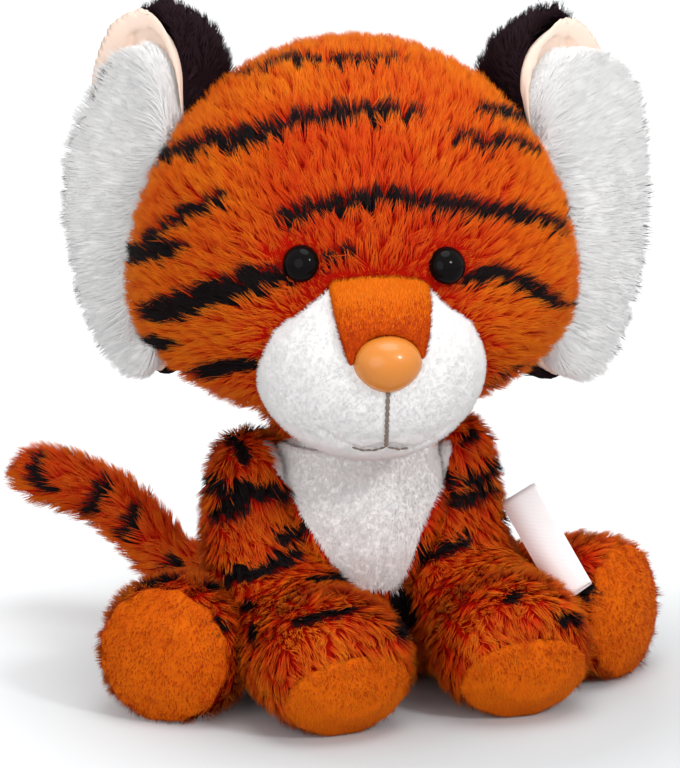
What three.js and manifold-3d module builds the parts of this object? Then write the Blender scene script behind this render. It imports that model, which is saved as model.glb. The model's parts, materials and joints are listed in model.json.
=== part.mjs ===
// Sitting plush tiger, about 140 mm tall: pile cloth skins over stuffing, with plastic eyes and nose.
// Millimetres, +Z up. The tiger faces -Y and +X is its own left. The origin is where its seat meets
// the floor. Every skin is drawn without its pile, so the toy with its fur is a little larger.

import * as THREE from 'three';
import { mergeVertices } from 'three/addons/utils/BufferGeometryUtils.js';
import Module from 'manifold-3d';

const wasm = await Module();
wasm.setup();

// Cloth and clearances
const cloth = 1.6; // a skin's thickness
const gap = 0.3; // what touching pieces keep between them
const overrun = 60; // how far a cutting tool reaches past what it cuts
const flatDepth = 0.4; // how much of each rounded underside is cut flat

// Torso, a pear with a ball for its neck
const torsoRadius = 22.5;
const torsoBack = 6; // how far its axis lies behind the origin
const torsoTop = 55;
const torsoRadiusShares = [0.97, 1, 1, 0.98, 0.82, 0.42];
const torsoSpineShares = [0, 0.4, 0.66, 0.8]; // heights where the spine has a point
const torsoEndRounds = [4.5, 9];
const neckHeight = 44; // the pivot of the head
const neckBack = 2;
const neckBall = 16;
const neckOpening = 10; // radius of the hole that the stuffing comes through
const pelletHeight = 15;
const bibTop = 49;
const bibFoot = 21;
const bibTopWidth = 38;
const bibFootWidth = 8;
const bibAside = 2.2; // how far its middle lies to the tiger's right
const panelCloth = 1.1; // thickness of a short-pile panel that lies on a skin

// Neck
const neckWad = 3.7; // thickness of the wad over the neck ball
const neckRim = 53; // height of its lower edge

// Head, an egg that is widest at the cheeks
const headTurned = -11; // degrees about Z, where the tiger looks
const headLean = 2.3; // degrees that the eyes and ears slope down to the tiger's left
const headWidth = 87.6;
const headDepth = 74;
const headForward = 1;
const cheekHeight = 80;
const crownRise = 49; // from the cheeks up to the crown
const jawDrop = 25; // from the cheeks down to the jaw

// Muzzle, a ball set into the face
const muzzleWidth = 46;
const muzzleDepth = 41;
const muzzleTall = 39;
const muzzleSunk = 9.5; // how far the muzzle's middle lies behind the front of the face
const muzzleDrop = 8.5; // how far it lies under the cheeks' height
const bridgeTall = 14.4; // from the nose's middle up to the fur
const bridgeTopWidth = 19.4;
const bridgeFootWidth = 14;
const bridgeAside = 0.7; // how far it lies to the tiger's left
const threadWidth = 0.8;
const mouthBelow = 1; // room between the nose and its line of stitches
const mouthTall = 10; // from there down to the smile
const smileWidth = 19;
const smileDrop = 2.1;
const smileBendShare = 0.8; // how much of a half wave each side of the smile bends through

// Nose and eyes, moulded with a stem that a washer locks inside
const noseWidth = 13.4;
const noseTall = 11.5;
const noseOut = 4.6;
const noseRise = 4.3; // above the muzzle's middle
const noseAside = 1; // how far the nose and mouth lie to the tiger's left
const noseStem = 1.7;
const noseStemLength = 9;
const noseWasher = 4.4;
const noseWasherSeat = 4.8;
const eyeRadius = 3.8;
const eyeOut = 2.7;
const eyeApart = 28.8;
const eyeHeight = 92.4;
const eyeStem = 1.1;
const eyeStemLength = 6.5;
const eyeWasher = 3.2;
const eyeWasherSeat = 2.9; // depth of the washer under the face
const washerThick = 1;

// Ears, half an egg each, open outwards and to the front
const earApart = 80;
const earAside = 3; // how far both ears lie to the tiger's left
const earBack = 8;
const earHeight = 96.5;
const earHalfWidth = 24.5;
const earHalfDepth = 14;
const earHalfTall = 38.8; // above its middle
const earHalfBelow = 38.4;
const earFacing = 33; // degrees that the opening is turned outwards
const earFurDrop = 4.5; // how far the fur's top lies under the lining's
const earFurOut = 4; // how far the fur swells out of the opening
const earPivotApart = 74;
const earFoldFront = -8;
const earFoldBack = 18;

// Arms, from the shoulder down and forwards into the paw
const armApartShares = [1.14, 1.04, 0.94, 0.96, 0.93, 0.91];
const armForwardShares = [-0.02, 0.03, 0.19, 0.5, 0.79, 1];
const armHeightShares = [1, 0.74, 0.43, 0.28, 0.26, 0.24];
const elbowAsideShares = [0, 0.6, 1, 0.3, 0, 0];
const armApart = 20; // the elbow's distance from the middle
const armForward = 47; // the paw's tip in front of the origin
const elbowAside = 2.2; // how far both elbows lie to the tiger's right
const pawAside = 3.3; // how far both paws lie to the tiger's left
const shoulderTop = 51.5;
const armWidths = [6.5, 9.6, 12.8, 13.6, 15, 15];
const armDepths = [9.2, 9.4, 10.4, 11.6, 13.5, 12.9];
const armEndRounds = [9, 10];
const shoulderHeight = 43; // the pivot of the arm
const armRaise = 30;
const pawPadWidth = 29;
const pawPadTall = 20;
const pawPadDrop = 4.5; // how far the pad's middle lies under the paw's

// Hind legs, short and spread, with flat soles
const hipApart = 20;
const hipBack = 12;
const hipHeight = 12;
const soleApart = 50.2;
const soleAside = 1.6; // how far both feet lie to the tiger's left
const soleForward = 24;
const legWidths = [9, 9.6, 11.8, 14.2, 14.2];
const legEndRounds = [9, 6.5];
const soleWidth = 27;
const legSpread = 22;

// Tail
const tailRootBack = 22;
const tailTipBack = 62;
const tailTipAside = 54;
const tailRootHeight = 11;
const tailTipHeight = 30;
const tailBackShares = [0, 0.31, 0.44, 0.54, 0.67, 0.82, 1];
const tailAsideShares = [0, 0.28, 0.48, 0.56, 0.66, 0.82, 1];
const tailHeightShares = [0, 0, 0.04, 0.33, 0.67, 0.89, 1];
const tailRadius = 5.4;
const tailWag = 18;

// Label, a ribbon folded in two and caught in the outer seam of the left arm
const labelLength = 27;
const labelOut = 7;
const labelInside = 8; // what is caught in the seam, before the arm's own shape trims it
const ribbon = 0.35;
const labelLoop = 1.5; // outer thickness of the fold
const labelApart = 31.8;
const labelForward = 20;
const labelHeight = 27.5;
const labelSlope = 34; // degrees that it slopes down to the front
const labelSplay = 11; // degrees that its front end stands further out
const labelRise = 18; // degrees that its free edge points up
const labelFlapDown = -4;
const labelFlapUp = 16;

// Counts of sides and rings
const headGrain = [26, 15];
const torsoGrain = [22, 11];
const limbGrain = [14, 11];
const tailGrain = [10, 11];
const earGrain = [16, 11];
const muzzleGrain = [20, 12];
const noseGrain = [14, 8];
const ballGrain = [24, 12];
const roundSides = 12;
const insideShare = 0.6; // how coarse a hidden surface is beside the one outside

const colour = {
	orange: 0xd9660f,
	shortOrange: 0xd06c14,
	white: 0xece9e6,
	dark: 0x2b1e22,
	lining: 0xe6c9b8,
	stuffing: 0xf2f0ea,
	pellets: 0xcfcabd,
	nose: 0xe39a4c,
	eye: 0x0c0b0b,
	washer: 0xe8e8e6,
	thread: 0x7a5a44,
	ribbon: 0xfafafa,
};

const tiger = new THREE.Group();
const headGroup = new THREE.Group();
headGroup.position.set(0, neckBack, 0);
headGroup.rotation.z = THREE.MathUtils.degToRad(headTurned);
tiger.add(headGroup);

// A closed geometry as a solid that can be cut and joined
function solidOf(geometry) {
	const bare = geometry.clone();
	bare.deleteAttribute('normal');
	bare.deleteAttribute('uv');
	const merged = mergeVertices(bare);
	const vertProperties = new Float32Array(merged.attributes.position.array);
	const triVerts = new Uint32Array(merged.index.array);
	return new wasm.Manifold(new wasm.Mesh({ numProp: 3, vertProperties, triVerts }));
}

function geometryOf(solid) {
	const mesh = solid.getMesh();
	const geometry = new THREE.BufferGeometry();
	geometry.setAttribute('position', new THREE.BufferAttribute(mesh.vertProperties, mesh.numProp));
	geometry.setIndex(new THREE.BufferAttribute(mesh.triVerts, 1));
	geometry.computeVertexNormals();
	return geometry;
}

function addPiece(parent, name, solid, color, roughness = 0.95) {
	const material = new THREE.MeshStandardMaterial({ color, roughness, metalness: 0 });
	const mesh = new THREE.Mesh(geometryOf(solid), material);
	mesh.name = name;
	parent.add(mesh);
	return mesh;
}

function placed(geometry, matrix) {
	return solidOf(geometry.clone().applyMatrix4(matrix));
}

// The matrix that lays the Y axis along a direction, from a starting point
function along(start, direction) {
	const turn = new THREE.Quaternion().setFromUnitVectors(
		new THREE.Vector3(0, 1, 0),
		direction.clone().normalize(),
	);
	return new THREE.Matrix4().compose(start, turn, new THREE.Vector3(1, 1, 1));
}

// A ball, egg or dish: six half-axes, grown outwards by the same amount all round
function egg({ centre, half, below = half.z, grain }, grow = 0) {
	const [sides, rings] = grain.map((count) => (grow < 0 ? Math.round(count * insideShare) : count));
	const geometry = new THREE.SphereGeometry(1, sides, rings).rotateX(Math.PI / 2);
	const points = geometry.attributes.position;
	for (let i = 0; i < points.count; i += 1) {
		const rise = points.getZ(i) < 0 ? below : half.z;
		points.setXYZ(
			i,
			centre.x + points.getX(i) * (half.x + grow),
			centre.y + points.getY(i) * (half.y + grow),
			centre.z + points.getZ(i) * (rise + grow),
		);
	}
	return solidOf(geometry);
}

// How full a limb is at a place along it: full in the middle and round at both ends
function fullness(from, to, endRounds, grow) {
	const first = Math.max(0, 1 - (from + grow) / (endRounds[0] + grow));
	const last = Math.max(0, 1 - (to + grow) / (endRounds[1] + grow));
	return Math.sqrt(Math.max(0, 1 - first * first)) * Math.sqrt(Math.max(0, 1 - last * last));
}

function spread(values) {
	const table = new THREE.SplineCurve(values.map((value, i) => new THREE.Vector2(i, value)));
	return (share) => table.getPoint(THREE.MathUtils.clamp(share, 0, 1)).y;
}

// A stuffed limb: a ball drawn out along a spine, its half-widths changing on the way
function swollen({ spine, side, widths, depths = widths, endRounds, grain }, grow = 0) {
	const curve = new THREE.CatmullRomCurve3(spine);
	const length = curve.getLength();
	const widthAt = spread(widths);
	const depthAt = spread(depths);
	const [sides, rings] = grain.map((count) => (grow < 0 ? Math.round(count * insideShare) : count));
	const geometry = new THREE.SphereGeometry(1, sides, rings);
	const points = geometry.attributes.position;
	for (let i = 0; i < points.count; i += 1) {
		const down = (1 - points.getY(i)) / 2;
		const reach = -grow + down * (length + 2 * grow);
		const share = THREE.MathUtils.clamp(reach / length, 0, 1);
		const round = Math.hypot(points.getX(i), points.getZ(i)) || 1;
		const full = fullness(reach, length - reach, endRounds, grow);
		const heading = curve.getTangentAt(share);
		const out = side.clone().addScaledVector(heading, -side.dot(heading)).normalize();
		const over = heading.clone().cross(out);
		const place = curve.getPointAt(share).addScaledVector(heading, reach - share * length);
		place.addScaledVector(out, (points.getX(i) / round) * (widthAt(share) + grow) * full);
		place.addScaledVector(over, (points.getZ(i) / round) * (depthAt(share) + grow) * full);
		points.setXYZ(i, place.x, place.y, place.z);
	}
	return solidOf(geometry);
}

// A block that fills everything above a height
function above(height) {
	const block = new THREE.BoxGeometry(2 * overrun, 2 * overrun, 2 * overrun);
	return solidOf(block.translate(0, 0, height + overrun));
}

function standing(solid) {
	return solid.intersect(above(0));
}

// A disc or rod from a starting point along a direction
function rod(start, direction, radius, length) {
	const geometry = new THREE.CylinderGeometry(radius, radius, length, roundSides);
	return placed(geometry.translate(0, length / 2, 0), along(start, direction));
}

// A hinge's pivot, axis and the angles that it is tried at
function hingeOf(pivot, axis, angles) {
	return { pivot, axis: axis.clone().normalize(), angles };
}

function turned(solid, hinge, degrees) {
	const { pivot, axis } = hinge;
	const matrix = new THREE.Matrix4().makeTranslation(pivot.x, pivot.y, pivot.z);
	matrix.multiply(new THREE.Matrix4().makeRotationAxis(axis, THREE.MathUtils.degToRad(degrees)));
	matrix.multiply(new THREE.Matrix4().makeTranslation(-pivot.x, -pivot.y, -pivot.z));
	return solid.transform(matrix.elements);
}

// The room that a neighbour takes up beside a piece that swings on a hinge
function roomBeside(neighbour, hinge) {
	const poses = hinge.angles.map((angle) => turned(neighbour, hinge, -angle));
	return poses.reduce((room, pose) => room.add(pose));
}

function steps(from, to, count) {
	return Array.from({ length: count }, (_, i) => from + ((to - from) * i) / (count - 1));
}

// A front-view outline pushed through the whole depth
function frontPrism(shape) {
	const geometry = new THREE.ExtrudeGeometry(shape, { depth: overrun, bevelEnabled: false });
	return solidOf(geometry.rotateX(Math.PI / 2));
}

// A panel that narrows downwards between two heights, with bowed sides
function taperedOutline(top, foot, topWidth, footWidth) {
	const shape = new THREE.Shape();
	const waist = (top + foot) / 2;
	shape.moveTo(-topWidth / 2, top);
	shape.quadraticCurveTo(-topWidth / 2, waist, -footWidth / 2, foot);
	shape.lineTo(footWidth / 2, foot);
	shape.quadraticCurveTo(topWidth / 2, waist, topWidth / 2, top);
	shape.closePath();
	return shape;
}

// Torso

const neckPivot = new THREE.Vector3(0, neckBack, neckHeight);

function torsoForm(grow = 0) {
	const spine = torsoSpineShares.map((share) => {
		const back = THREE.MathUtils.lerp(torsoBack, neckBack, share * share);
		return new THREE.Vector3(0, back, share * torsoTop);
	});
	spine[0].z = -flatDepth;
	spine.push(new THREE.Vector3(0, neckBack, torsoTop));
	const pear = swollen({
		spine,
		side: new THREE.Vector3(1, 0, 0),
		widths: torsoRadiusShares.map((share) => share * torsoRadius),
		endRounds: torsoEndRounds,
		grain: torsoGrain,
	}, grow);
	return pear.add(neckSphere(neckBall + grow));
}

function neckSphere(radius, centre = neckPivot) {
	const half = new THREE.Vector3(radius, radius, radius);
	return egg({ centre, half, grain: ballGrain });
}

function panelOn(form, region) {
	return form(gap + panelCloth).subtract(form(gap)).intersect(region);
}

function bibRegion(grow = 0) {
	const topWidth = bibTopWidth + 2 * grow;
	const footWidth = bibFootWidth + 2 * grow;
	const region = frontPrism(taperedOutline(bibTop + grow, bibFoot - grow, topWidth, footWidth));
	return region.translate([-bibAside, 0, 0]);
}

// The torso and its bib, with room to clear whatever swings beside them
function torsoRoom() {
	const bib = torsoForm(2 * gap + panelCloth).intersect(bibRegion(gap));
	return torsoForm(gap).add(bib);
}

function addTorso() {
	const skin = standing(torsoForm());
	const inside = torsoForm(-cloth).intersect(above(cloth));
	const filling = torsoForm(-cloth - gap).intersect(above(cloth + gap));
	const up = new THREE.Vector3(0, 0, 1);
	const collar = rod(neckPivot, up, neckOpening, overrun);
	const plug = rod(neckPivot, up, neckOpening - gap, overrun).intersect(neckSphere(neckBall));
	addPiece(tiger, 'body_skin', skin.subtract(inside).subtract(collar), colour.orange);
	addPiece(tiger, 'body_stuffing', filling.add(plug).intersect(above(pelletHeight + gap)), colour.stuffing);
	addPiece(tiger, 'pellet_bag', filling.subtract(above(pelletHeight)), colour.pellets);
	addPiece(tiger, 'chest_bib', panelOn(torsoForm, bibRegion()), colour.white);
}

// Neck and head

const headCentre = new THREE.Vector3(0, -headForward, cheekHeight);
const headNeck = new THREE.Vector3(0, 0, neckHeight); // the pivot, in the head's own frame
const muzzleCentre = new THREE.Vector3(
	0,
	muzzleSunk - headForward - headDepth / 2,
	cheekHeight - muzzleDrop,
);
const noseHeight = muzzleCentre.z + noseRise;

function headForm(grow = 0) {
	const half = new THREE.Vector3(headWidth / 2, headDepth / 2, crownRise);
	return egg({ centre: headCentre, half, below: jawDrop, grain: headGrain }, grow);
}

function muzzleForm(grow = 0) {
	const half = new THREE.Vector3(muzzleWidth / 2, muzzleDepth / 2, muzzleTall / 2);
	return egg({ centre: muzzleCentre, half, grain: muzzleGrain }, grow);
}

function neckSocket() {
	return neckSphere(neckBall + neckWad + gap, headNeck);
}

// How much higher a face's feature lies for being this far to the tiger's left
function leaning(x) {
	return -x * Math.tan(THREE.MathUtils.degToRad(headLean));
}

// How far forward a ball's surface lies at a place in the front view
function frontOf(centre, half, x, z) {
	const across = (x - centre.x) / half.x;
	const up = (z - centre.z) / half.z;
	return centre.y - half.y * Math.sqrt(1 - across * across - up * up);
}

function muzzleFront(x, z) {
	const half = new THREE.Vector3(muzzleWidth / 2, muzzleDepth / 2, muzzleTall / 2);
	return new THREE.Vector3(x, frontOf(muzzleCentre, half, x, z), z);
}

// A stitched line, drawn out along points on the muzzle
function stitch(points) {
	const section = new THREE.Shape().absarc(0, 0, threadWidth / 2, 0, 2 * Math.PI);
	const extrudePath = new THREE.CatmullRomCurve3(points);
	const options = { steps: 2 * points.length, bevelEnabled: false, curveSegments: 3, extrudePath };
	return solidOf(new THREE.ExtrudeGeometry(section, options));
}

function mouthThread() {
	const top = noseHeight - noseTall / 2 - mouthBelow;
	const fork = top - mouthTall;
	const lift = gap + threadWidth / 2;
	const lifted = (x, z) => muzzleFront(x, z).sub(muzzleCentre).setLength(
		muzzleFront(x, z).sub(muzzleCentre).length() + lift,
	).add(muzzleCentre);
	const line = steps(top, fork, 4).map((z) => lifted(noseAside, z));
	let thread = stitch(line);
	for (const side of [-1, 1]) {
		const smile = steps(0, 1, 5).map((share) => {
			const drop = smileDrop * Math.sin(Math.PI * share * smileBendShare);
			return lifted(noseAside + (side * share * smileWidth) / 2, fork - drop);
		});
		thread = thread.add(stitch(smile));
	}
	return thread;
}

function noseForm(grow = 0) {
	const centre = muzzleFront(noseAside, noseHeight);
	const half = new THREE.Vector3(noseWidth / 2, noseOut, noseTall / 2);
	return egg({ centre, half, grain: noseGrain }, grow);
}

function noseBridge() {
	const outline = taperedOutline(noseHeight + bridgeTall, noseHeight, bridgeTopWidth, bridgeFootWidth);
	const region = frontPrism(outline).translate([bridgeAside, 0, 0]);
	return panelOn(muzzleForm, region).subtract(noseForm(gap));
}

// A part's stem, washer and the room that both take in the stuffing
function fixing(start, inward, stem, length, washer, seat) {
	const root = start.clone().addScaledVector(inward, -cloth); // inside the head of the part
	const seated = start.clone().addScaledVector(inward, seat);
	const hole = rod(root, inward, stem + gap, cloth + length + gap);
	const room = seated.clone().addScaledVector(inward, -cloth);
	return {
		hole,
		stem: rod(root, inward, stem, cloth + length),
		washer: rod(seated, inward, washer, washerThick).subtract(hole),
		pocket: rod(room, inward, washer + gap, cloth + washerThick + gap),
	};
}

const noseFixing = fixing(
	muzzleFront(noseAside, noseHeight),
	new THREE.Vector3(0, 1, 0),
	noseStem,
	noseStemLength,
	noseWasher,
	noseWasherSeat,
);

function eyeStart(side) {
	const half = new THREE.Vector3(headWidth / 2, headDepth / 2, crownRise);
	const x = (side * eyeApart) / 2;
	const z = eyeHeight + leaning(x);
	return new THREE.Vector3(x, frontOf(headCentre, half, x, z), z);
}

function eyeInward(side) {
	const out = eyeStart(side).sub(headCentre);
	out.x /= (headWidth / 2) ** 2;
	out.y /= (headDepth / 2) ** 2;
	out.z /= crownRise ** 2;
	return out.normalize().negate();
}

function eyeFixing(side) {
	return fixing(eyeStart(side), eyeInward(side), eyeStem, eyeStemLength, eyeWasher, eyeWasherSeat);
}

// A black dome with a round edge, flat at the back
function eyeDome(side) {
	const profile = new THREE.EllipseCurve(0, 0, eyeRadius, eyeOut, 0, Math.PI / 2).getPoints(7);
	const outline = [new THREE.Vector2(0, -cloth / 2), new THREE.Vector2(eyeRadius, -cloth / 2), ...profile];
	outline[outline.length - 1].x = 0;
	const dome = new THREE.LatheGeometry(outline, roundSides);
	const outward = eyeInward(side).negate();
	return placed(dome, along(eyeStart(side), outward)).subtract(headForm(gap)).subtract(muzzleForm(gap));
}

function addHead() {
	const socket = neckSocket();
	const eyes = [-1, 1].map((side) => ({ side, name: side < 0 ? 'right' : 'left', ...eyeFixing(side) }));
	let skin = headForm().subtract(headForm(-cloth)).subtract(socket);
	let filling = headForm(-cloth - gap).subtract(socket);
	for (const { side, name, stem, hole, washer, pocket } of eyes) {
		skin = skin.subtract(hole);
		filling = filling.subtract(hole).subtract(pocket);
		addPiece(headGroup, `eye_${name}`, eyeDome(side).add(stem), colour.eye, 0.05);
		addPiece(headGroup, `eye_washer_${name}`, washer, colour.washer, 0.5);
	}
	addPiece(headGroup, 'head_skin', skin, colour.orange);
	addPiece(headGroup, 'head_stuffing', filling, colour.stuffing);
	const behind = headForm(gap).add(socket);
	const cover = muzzleForm().subtract(muzzleForm(-cloth)).subtract(behind).subtract(noseFixing.hole);
	const wad = muzzleForm(-cloth - gap).subtract(behind);
	const inner = wad.subtract(noseFixing.hole).subtract(noseFixing.pocket);
	const nose = noseForm().subtract(muzzleForm(gap)).add(noseFixing.stem);
	addPiece(headGroup, 'muzzle_cover', cover, colour.white);
	addPiece(headGroup, 'muzzle_stuffing', inner, colour.stuffing);
	addPiece(headGroup, 'nose_bridge', noseBridge().subtract(headForm(gap)), colour.shortOrange);
	addPiece(headGroup, 'mouth_thread', mouthThread(), colour.thread, 0.8);
	addPiece(headGroup, 'nose', nose, colour.nose, 0.3);
	addPiece(headGroup, 'nose_washer', noseFixing.washer, colour.washer, 0.5);
}

function addNeck() {
	const wad = neckSphere(neckBall + neckWad, headNeck).subtract(neckSphere(neckBall + gap, headNeck));
	addPiece(headGroup, 'neck_stuffing', wad.intersect(above(neckRim)), colour.stuffing);
}

// Ears

function addEar(side, name) {
	const apart = (side * earApart) / 2 + earAside;
	const centre = new THREE.Vector3(apart, earBack, earHeight + leaning(apart));
	const half = new THREE.Vector3(earHalfWidth, earHalfDepth, earHalfTall);
	const dish = (grow) => egg({ centre, half, below: earHalfBelow, grain: earGrain }, grow);
	const facing = THREE.MathUtils.degToRad(earFacing);
	const opening = new THREE.Vector3(side * Math.sin(facing), -Math.cos(facing), 0);
	const block = new THREE.BoxGeometry(2 * overrun, 2 * overrun, 2 * overrun).translate(0, overrun, 0);
	const front = (reach) => placed(block, along(centre.clone().addScaledVector(opening, reach), opening));
	const pivot = new THREE.Vector3((side * earPivotApart) / 2, earBack, earHeight);
	const axis = new THREE.Vector3(0, 0, side);
	const hinge = hingeOf(pivot, axis, [earFoldFront, 0, earFoldBack / 2, earFoldBack]);
	const room = roomBeside(headForm(gap), hinge);
	const back = dish(0).subtract(dish(-cloth)).subtract(front(0));
	const lining = dish(-cloth - gap).subtract(dish(-2 * cloth - gap)).subtract(front(0));
	const lowered = dish(-2 * cloth - 2 * gap).translate([0, 0, -earFurDrop]);
	const fur = dish(-2 * cloth - 2 * gap).intersect(lowered).subtract(front(earFurOut));
	addPiece(headGroup, `ear_back_${name}`, back.subtract(room), colour.dark);
	addPiece(headGroup, `ear_lining_${name}`, lining.subtract(room), colour.lining);
	addPiece(headGroup, `ear_fur_${name}`, fur.subtract(room), colour.white);
}

// Arms

function armForm(side) {
	const spine = armApartShares.map((share, i) => new THREE.Vector3(
		side * share * armApart + armForwardShares[i] * pawAside - elbowAsideShares[i] * elbowAside,
		-armForwardShares[i] * armForward,
		armHeightShares[i] * shoulderTop,
	));
	return (grow = 0) => swollen({
		spine,
		side: new THREE.Vector3(1, 0, 0),
		widths: armWidths,
		depths: armDepths,
		endRounds: armEndRounds,
		grain: limbGrain,
	}, grow);
}

function pawPad(form, side) {
	const last = armForwardShares.length - 1;
	const tip = new THREE.Vector3(
		side * armApartShares[last] * armApart + pawAside,
		-armForward,
		armHeightShares[last] * shoulderTop - pawPadDrop,
	);
	const half = new THREE.Vector3(pawPadWidth / 2, pawPadWidth / 2, pawPadTall / 2);
	return standing(panelOn(form, egg({ centre: tip, half, grain: noseGrain })));
}

function armHinge(side) {
	const pivot = new THREE.Vector3(side * armApart, 0, shoulderHeight);
	return hingeOf(pivot, new THREE.Vector3(-1, 0, 0), steps(0, armRaise, 7));
}

// The room that an arm takes up beside what stays put while it rises
function armRoom(side) {
	const hinge = armHinge(side);
	const poses = hinge.angles.slice(0, 4).map((angle) => turned(armForm(side)(2 * gap), hinge, angle));
	return poses.reduce((room, pose) => room.add(pose));
}

function addArm(side, name, torso) {
	const form = armForm(side);
	const room = roomBeside(torso, armHinge(side));
	const skin = standing(form()).subtract(form(-cloth)).subtract(room);
	addPiece(tiger, `arm_skin_${name}`, skin, colour.orange);
	addPiece(tiger, `arm_stuffing_${name}`, form(-cloth - gap).subtract(room), colour.stuffing);
	addPiece(tiger, `paw_pad_${name}`, pawPad(form, side), colour.shortOrange);
}

// Hind legs

function legForm(side) {
	const foot = side * soleApart + soleAside;
	const middle = new THREE.Vector3((side * hipApart + foot) / 2, (hipBack - soleForward) / 2, hipHeight);
	const spine = [
		new THREE.Vector3(side * hipApart, hipBack, hipHeight),
		middle,
		new THREE.Vector3(foot, -soleForward, legWidths[legWidths.length - 1] - flatDepth),
	];
	return {
		spine,
		form: (grow = 0) => swollen({
			spine,
			side: new THREE.Vector3(0, 0, 1),
			widths: legWidths,
			endRounds: legEndRounds,
			grain: limbGrain,
		}, grow),
	};
}

function addLeg(side, name, torso) {
	const { spine, form } = legForm(side);
	const hinge = hingeOf(spine[0], new THREE.Vector3(0, 0, side), [0, legSpread / 2, legSpread]);
	const room = roomBeside(torso.add(armRoom(side)), hinge);
	const heading = spine[2].clone().sub(spine[1]).normalize();
	const region = rod(spine[1], heading, soleWidth / 2, overrun);
	const toe = spine[2].clone().addScaledVector(heading, -legEndRounds[1]);
	const beyond = rod(toe, heading, overrun, overrun);
	addPiece(tiger, `leg_skin_${name}`, standing(form()).subtract(form(-cloth)).subtract(room), colour.orange);
	addPiece(tiger, `leg_stuffing_${name}`, form(-cloth - gap).subtract(room), colour.stuffing);
	addPiece(tiger, `sole_${name}`, panelOn(form, region.intersect(beyond)), colour.shortOrange);
}

// Tail

function addTail(torso) {
	const spine = tailBackShares.map((share, i) => new THREE.Vector3(
		-tailAsideShares[i] * tailTipAside,
		THREE.MathUtils.lerp(tailRootBack, tailTipBack, share),
		THREE.MathUtils.lerp(tailRootHeight, tailTipHeight, tailHeightShares[i]),
	));
	const form = (grow) => swollen({
		spine,
		side: new THREE.Vector3(0, 0, 1),
		widths: [tailRadius, tailRadius],
		endRounds: [tailRadius, tailRadius],
		grain: tailGrain,
	}, grow);
	const hinge = hingeOf(spine[0], new THREE.Vector3(0, 0, 1), [-tailWag, 0, tailWag]);
	const room = roomBeside(torso, hinge);
	addPiece(tiger, 'tail_skin', form(0).subtract(form(-cloth)).subtract(room), colour.orange);
	addPiece(tiger, 'tail_stuffing', form(-cloth - gap).subtract(room), colour.stuffing);
}

// Label

// The ribbon's section: two layers side by side, joined by the fold at the free edge
function foldedRibbon() {
	const outer = labelLoop / 2;
	const inner = outer - ribbon;
	const bend = labelOut - outer;
	const shape = new THREE.Shape();
	shape.moveTo(-labelInside, -outer);
	shape.lineTo(bend, -outer);
	shape.absarc(bend, 0, outer, -Math.PI / 2, Math.PI / 2, false);
	shape.lineTo(-labelInside, outer);
	shape.lineTo(-labelInside, inner);
	shape.lineTo(bend, inner);
	shape.absarc(bend, 0, inner, Math.PI / 2, -Math.PI / 2, true);
	shape.lineTo(-labelInside, -inner);
	shape.closePath();
	return shape;
}

function addLabel() {
	const options = { depth: labelLength, bevelEnabled: false, curveSegments: 5 };
	const geometry = new THREE.ExtrudeGeometry(foldedRibbon(), options);
	geometry.translate(0, 0, -labelLength / 2);
	geometry.rotateZ(-THREE.MathUtils.degToRad(labelRise));
	geometry.rotateX(THREE.MathUtils.degToRad(labelSlope) - Math.PI / 2);
	geometry.rotateZ(THREE.MathUtils.degToRad(labelSplay));
	const slope = THREE.MathUtils.degToRad(labelSlope);
	const pivot = new THREE.Vector3(labelApart, -labelForward, labelHeight);
	const seam = new THREE.Vector3(0, -Math.cos(slope), -Math.sin(slope));
	seam.applyAxisAngle(new THREE.Vector3(0, 0, 1), THREE.MathUtils.degToRad(labelSplay));
	const room = roomBeside(armForm(1)(gap), hingeOf(pivot, seam, steps(labelFlapDown, labelFlapUp, 5)));
	geometry.translate(pivot.x, pivot.y, pivot.z);
	addPiece(tiger, 'label', solidOf(geometry).subtract(room), colour.ribbon, 0.6);
}

const torso = torsoRoom();
addTorso();
addNeck();
addHead();
for (const [side, name] of [[1, 'left'], [-1, 'right']]) {
	addEar(side, name);
	addArm(side, name, torso);
	addLeg(side, name, torso);
}
addTail(torso);
addLabel();

export default tiger;
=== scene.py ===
import json
import math

import bmesh
import bpy
import numpy as np
from bpy.props import FloatProperty, FloatVectorProperty, IntProperty, PointerProperty
from mathutils import Matrix, Vector, kdtree
from mathutils.bvhtree import BVHTree


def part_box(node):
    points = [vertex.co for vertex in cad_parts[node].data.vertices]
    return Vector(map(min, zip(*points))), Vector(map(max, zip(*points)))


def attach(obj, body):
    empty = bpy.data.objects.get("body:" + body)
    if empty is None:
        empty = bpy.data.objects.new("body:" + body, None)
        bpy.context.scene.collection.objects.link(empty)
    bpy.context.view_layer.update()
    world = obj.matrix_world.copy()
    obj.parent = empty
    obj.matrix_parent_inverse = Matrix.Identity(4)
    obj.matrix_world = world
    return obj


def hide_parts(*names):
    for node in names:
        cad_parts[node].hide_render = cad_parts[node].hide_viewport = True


bl_info = {
    "name": "Plush tiger",
    "version": (1, 0, 0),
    "blender": (4, 5, 0),
    "location": "3D View > Sidebar > Plush tiger",
    "description": "Dresses a sitting plush tiger: fur, short pile, eyes, nose, stitching and ribbon",
    "category": "Object",
}

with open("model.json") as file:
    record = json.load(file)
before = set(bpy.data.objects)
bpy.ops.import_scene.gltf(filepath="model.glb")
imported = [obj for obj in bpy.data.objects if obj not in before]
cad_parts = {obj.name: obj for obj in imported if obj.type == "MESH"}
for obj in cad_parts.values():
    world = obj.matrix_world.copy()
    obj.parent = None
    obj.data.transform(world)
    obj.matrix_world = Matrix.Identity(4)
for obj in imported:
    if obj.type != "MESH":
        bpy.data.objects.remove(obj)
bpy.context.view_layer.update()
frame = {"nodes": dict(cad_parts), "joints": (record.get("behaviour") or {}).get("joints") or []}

MM = 0.001
SIDES = {"left": 1, "right": -1}
UP, DOWN = Vector((0, 0, 1)), (0, 0, -1)
BLACK = (0, 0, 0)

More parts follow.
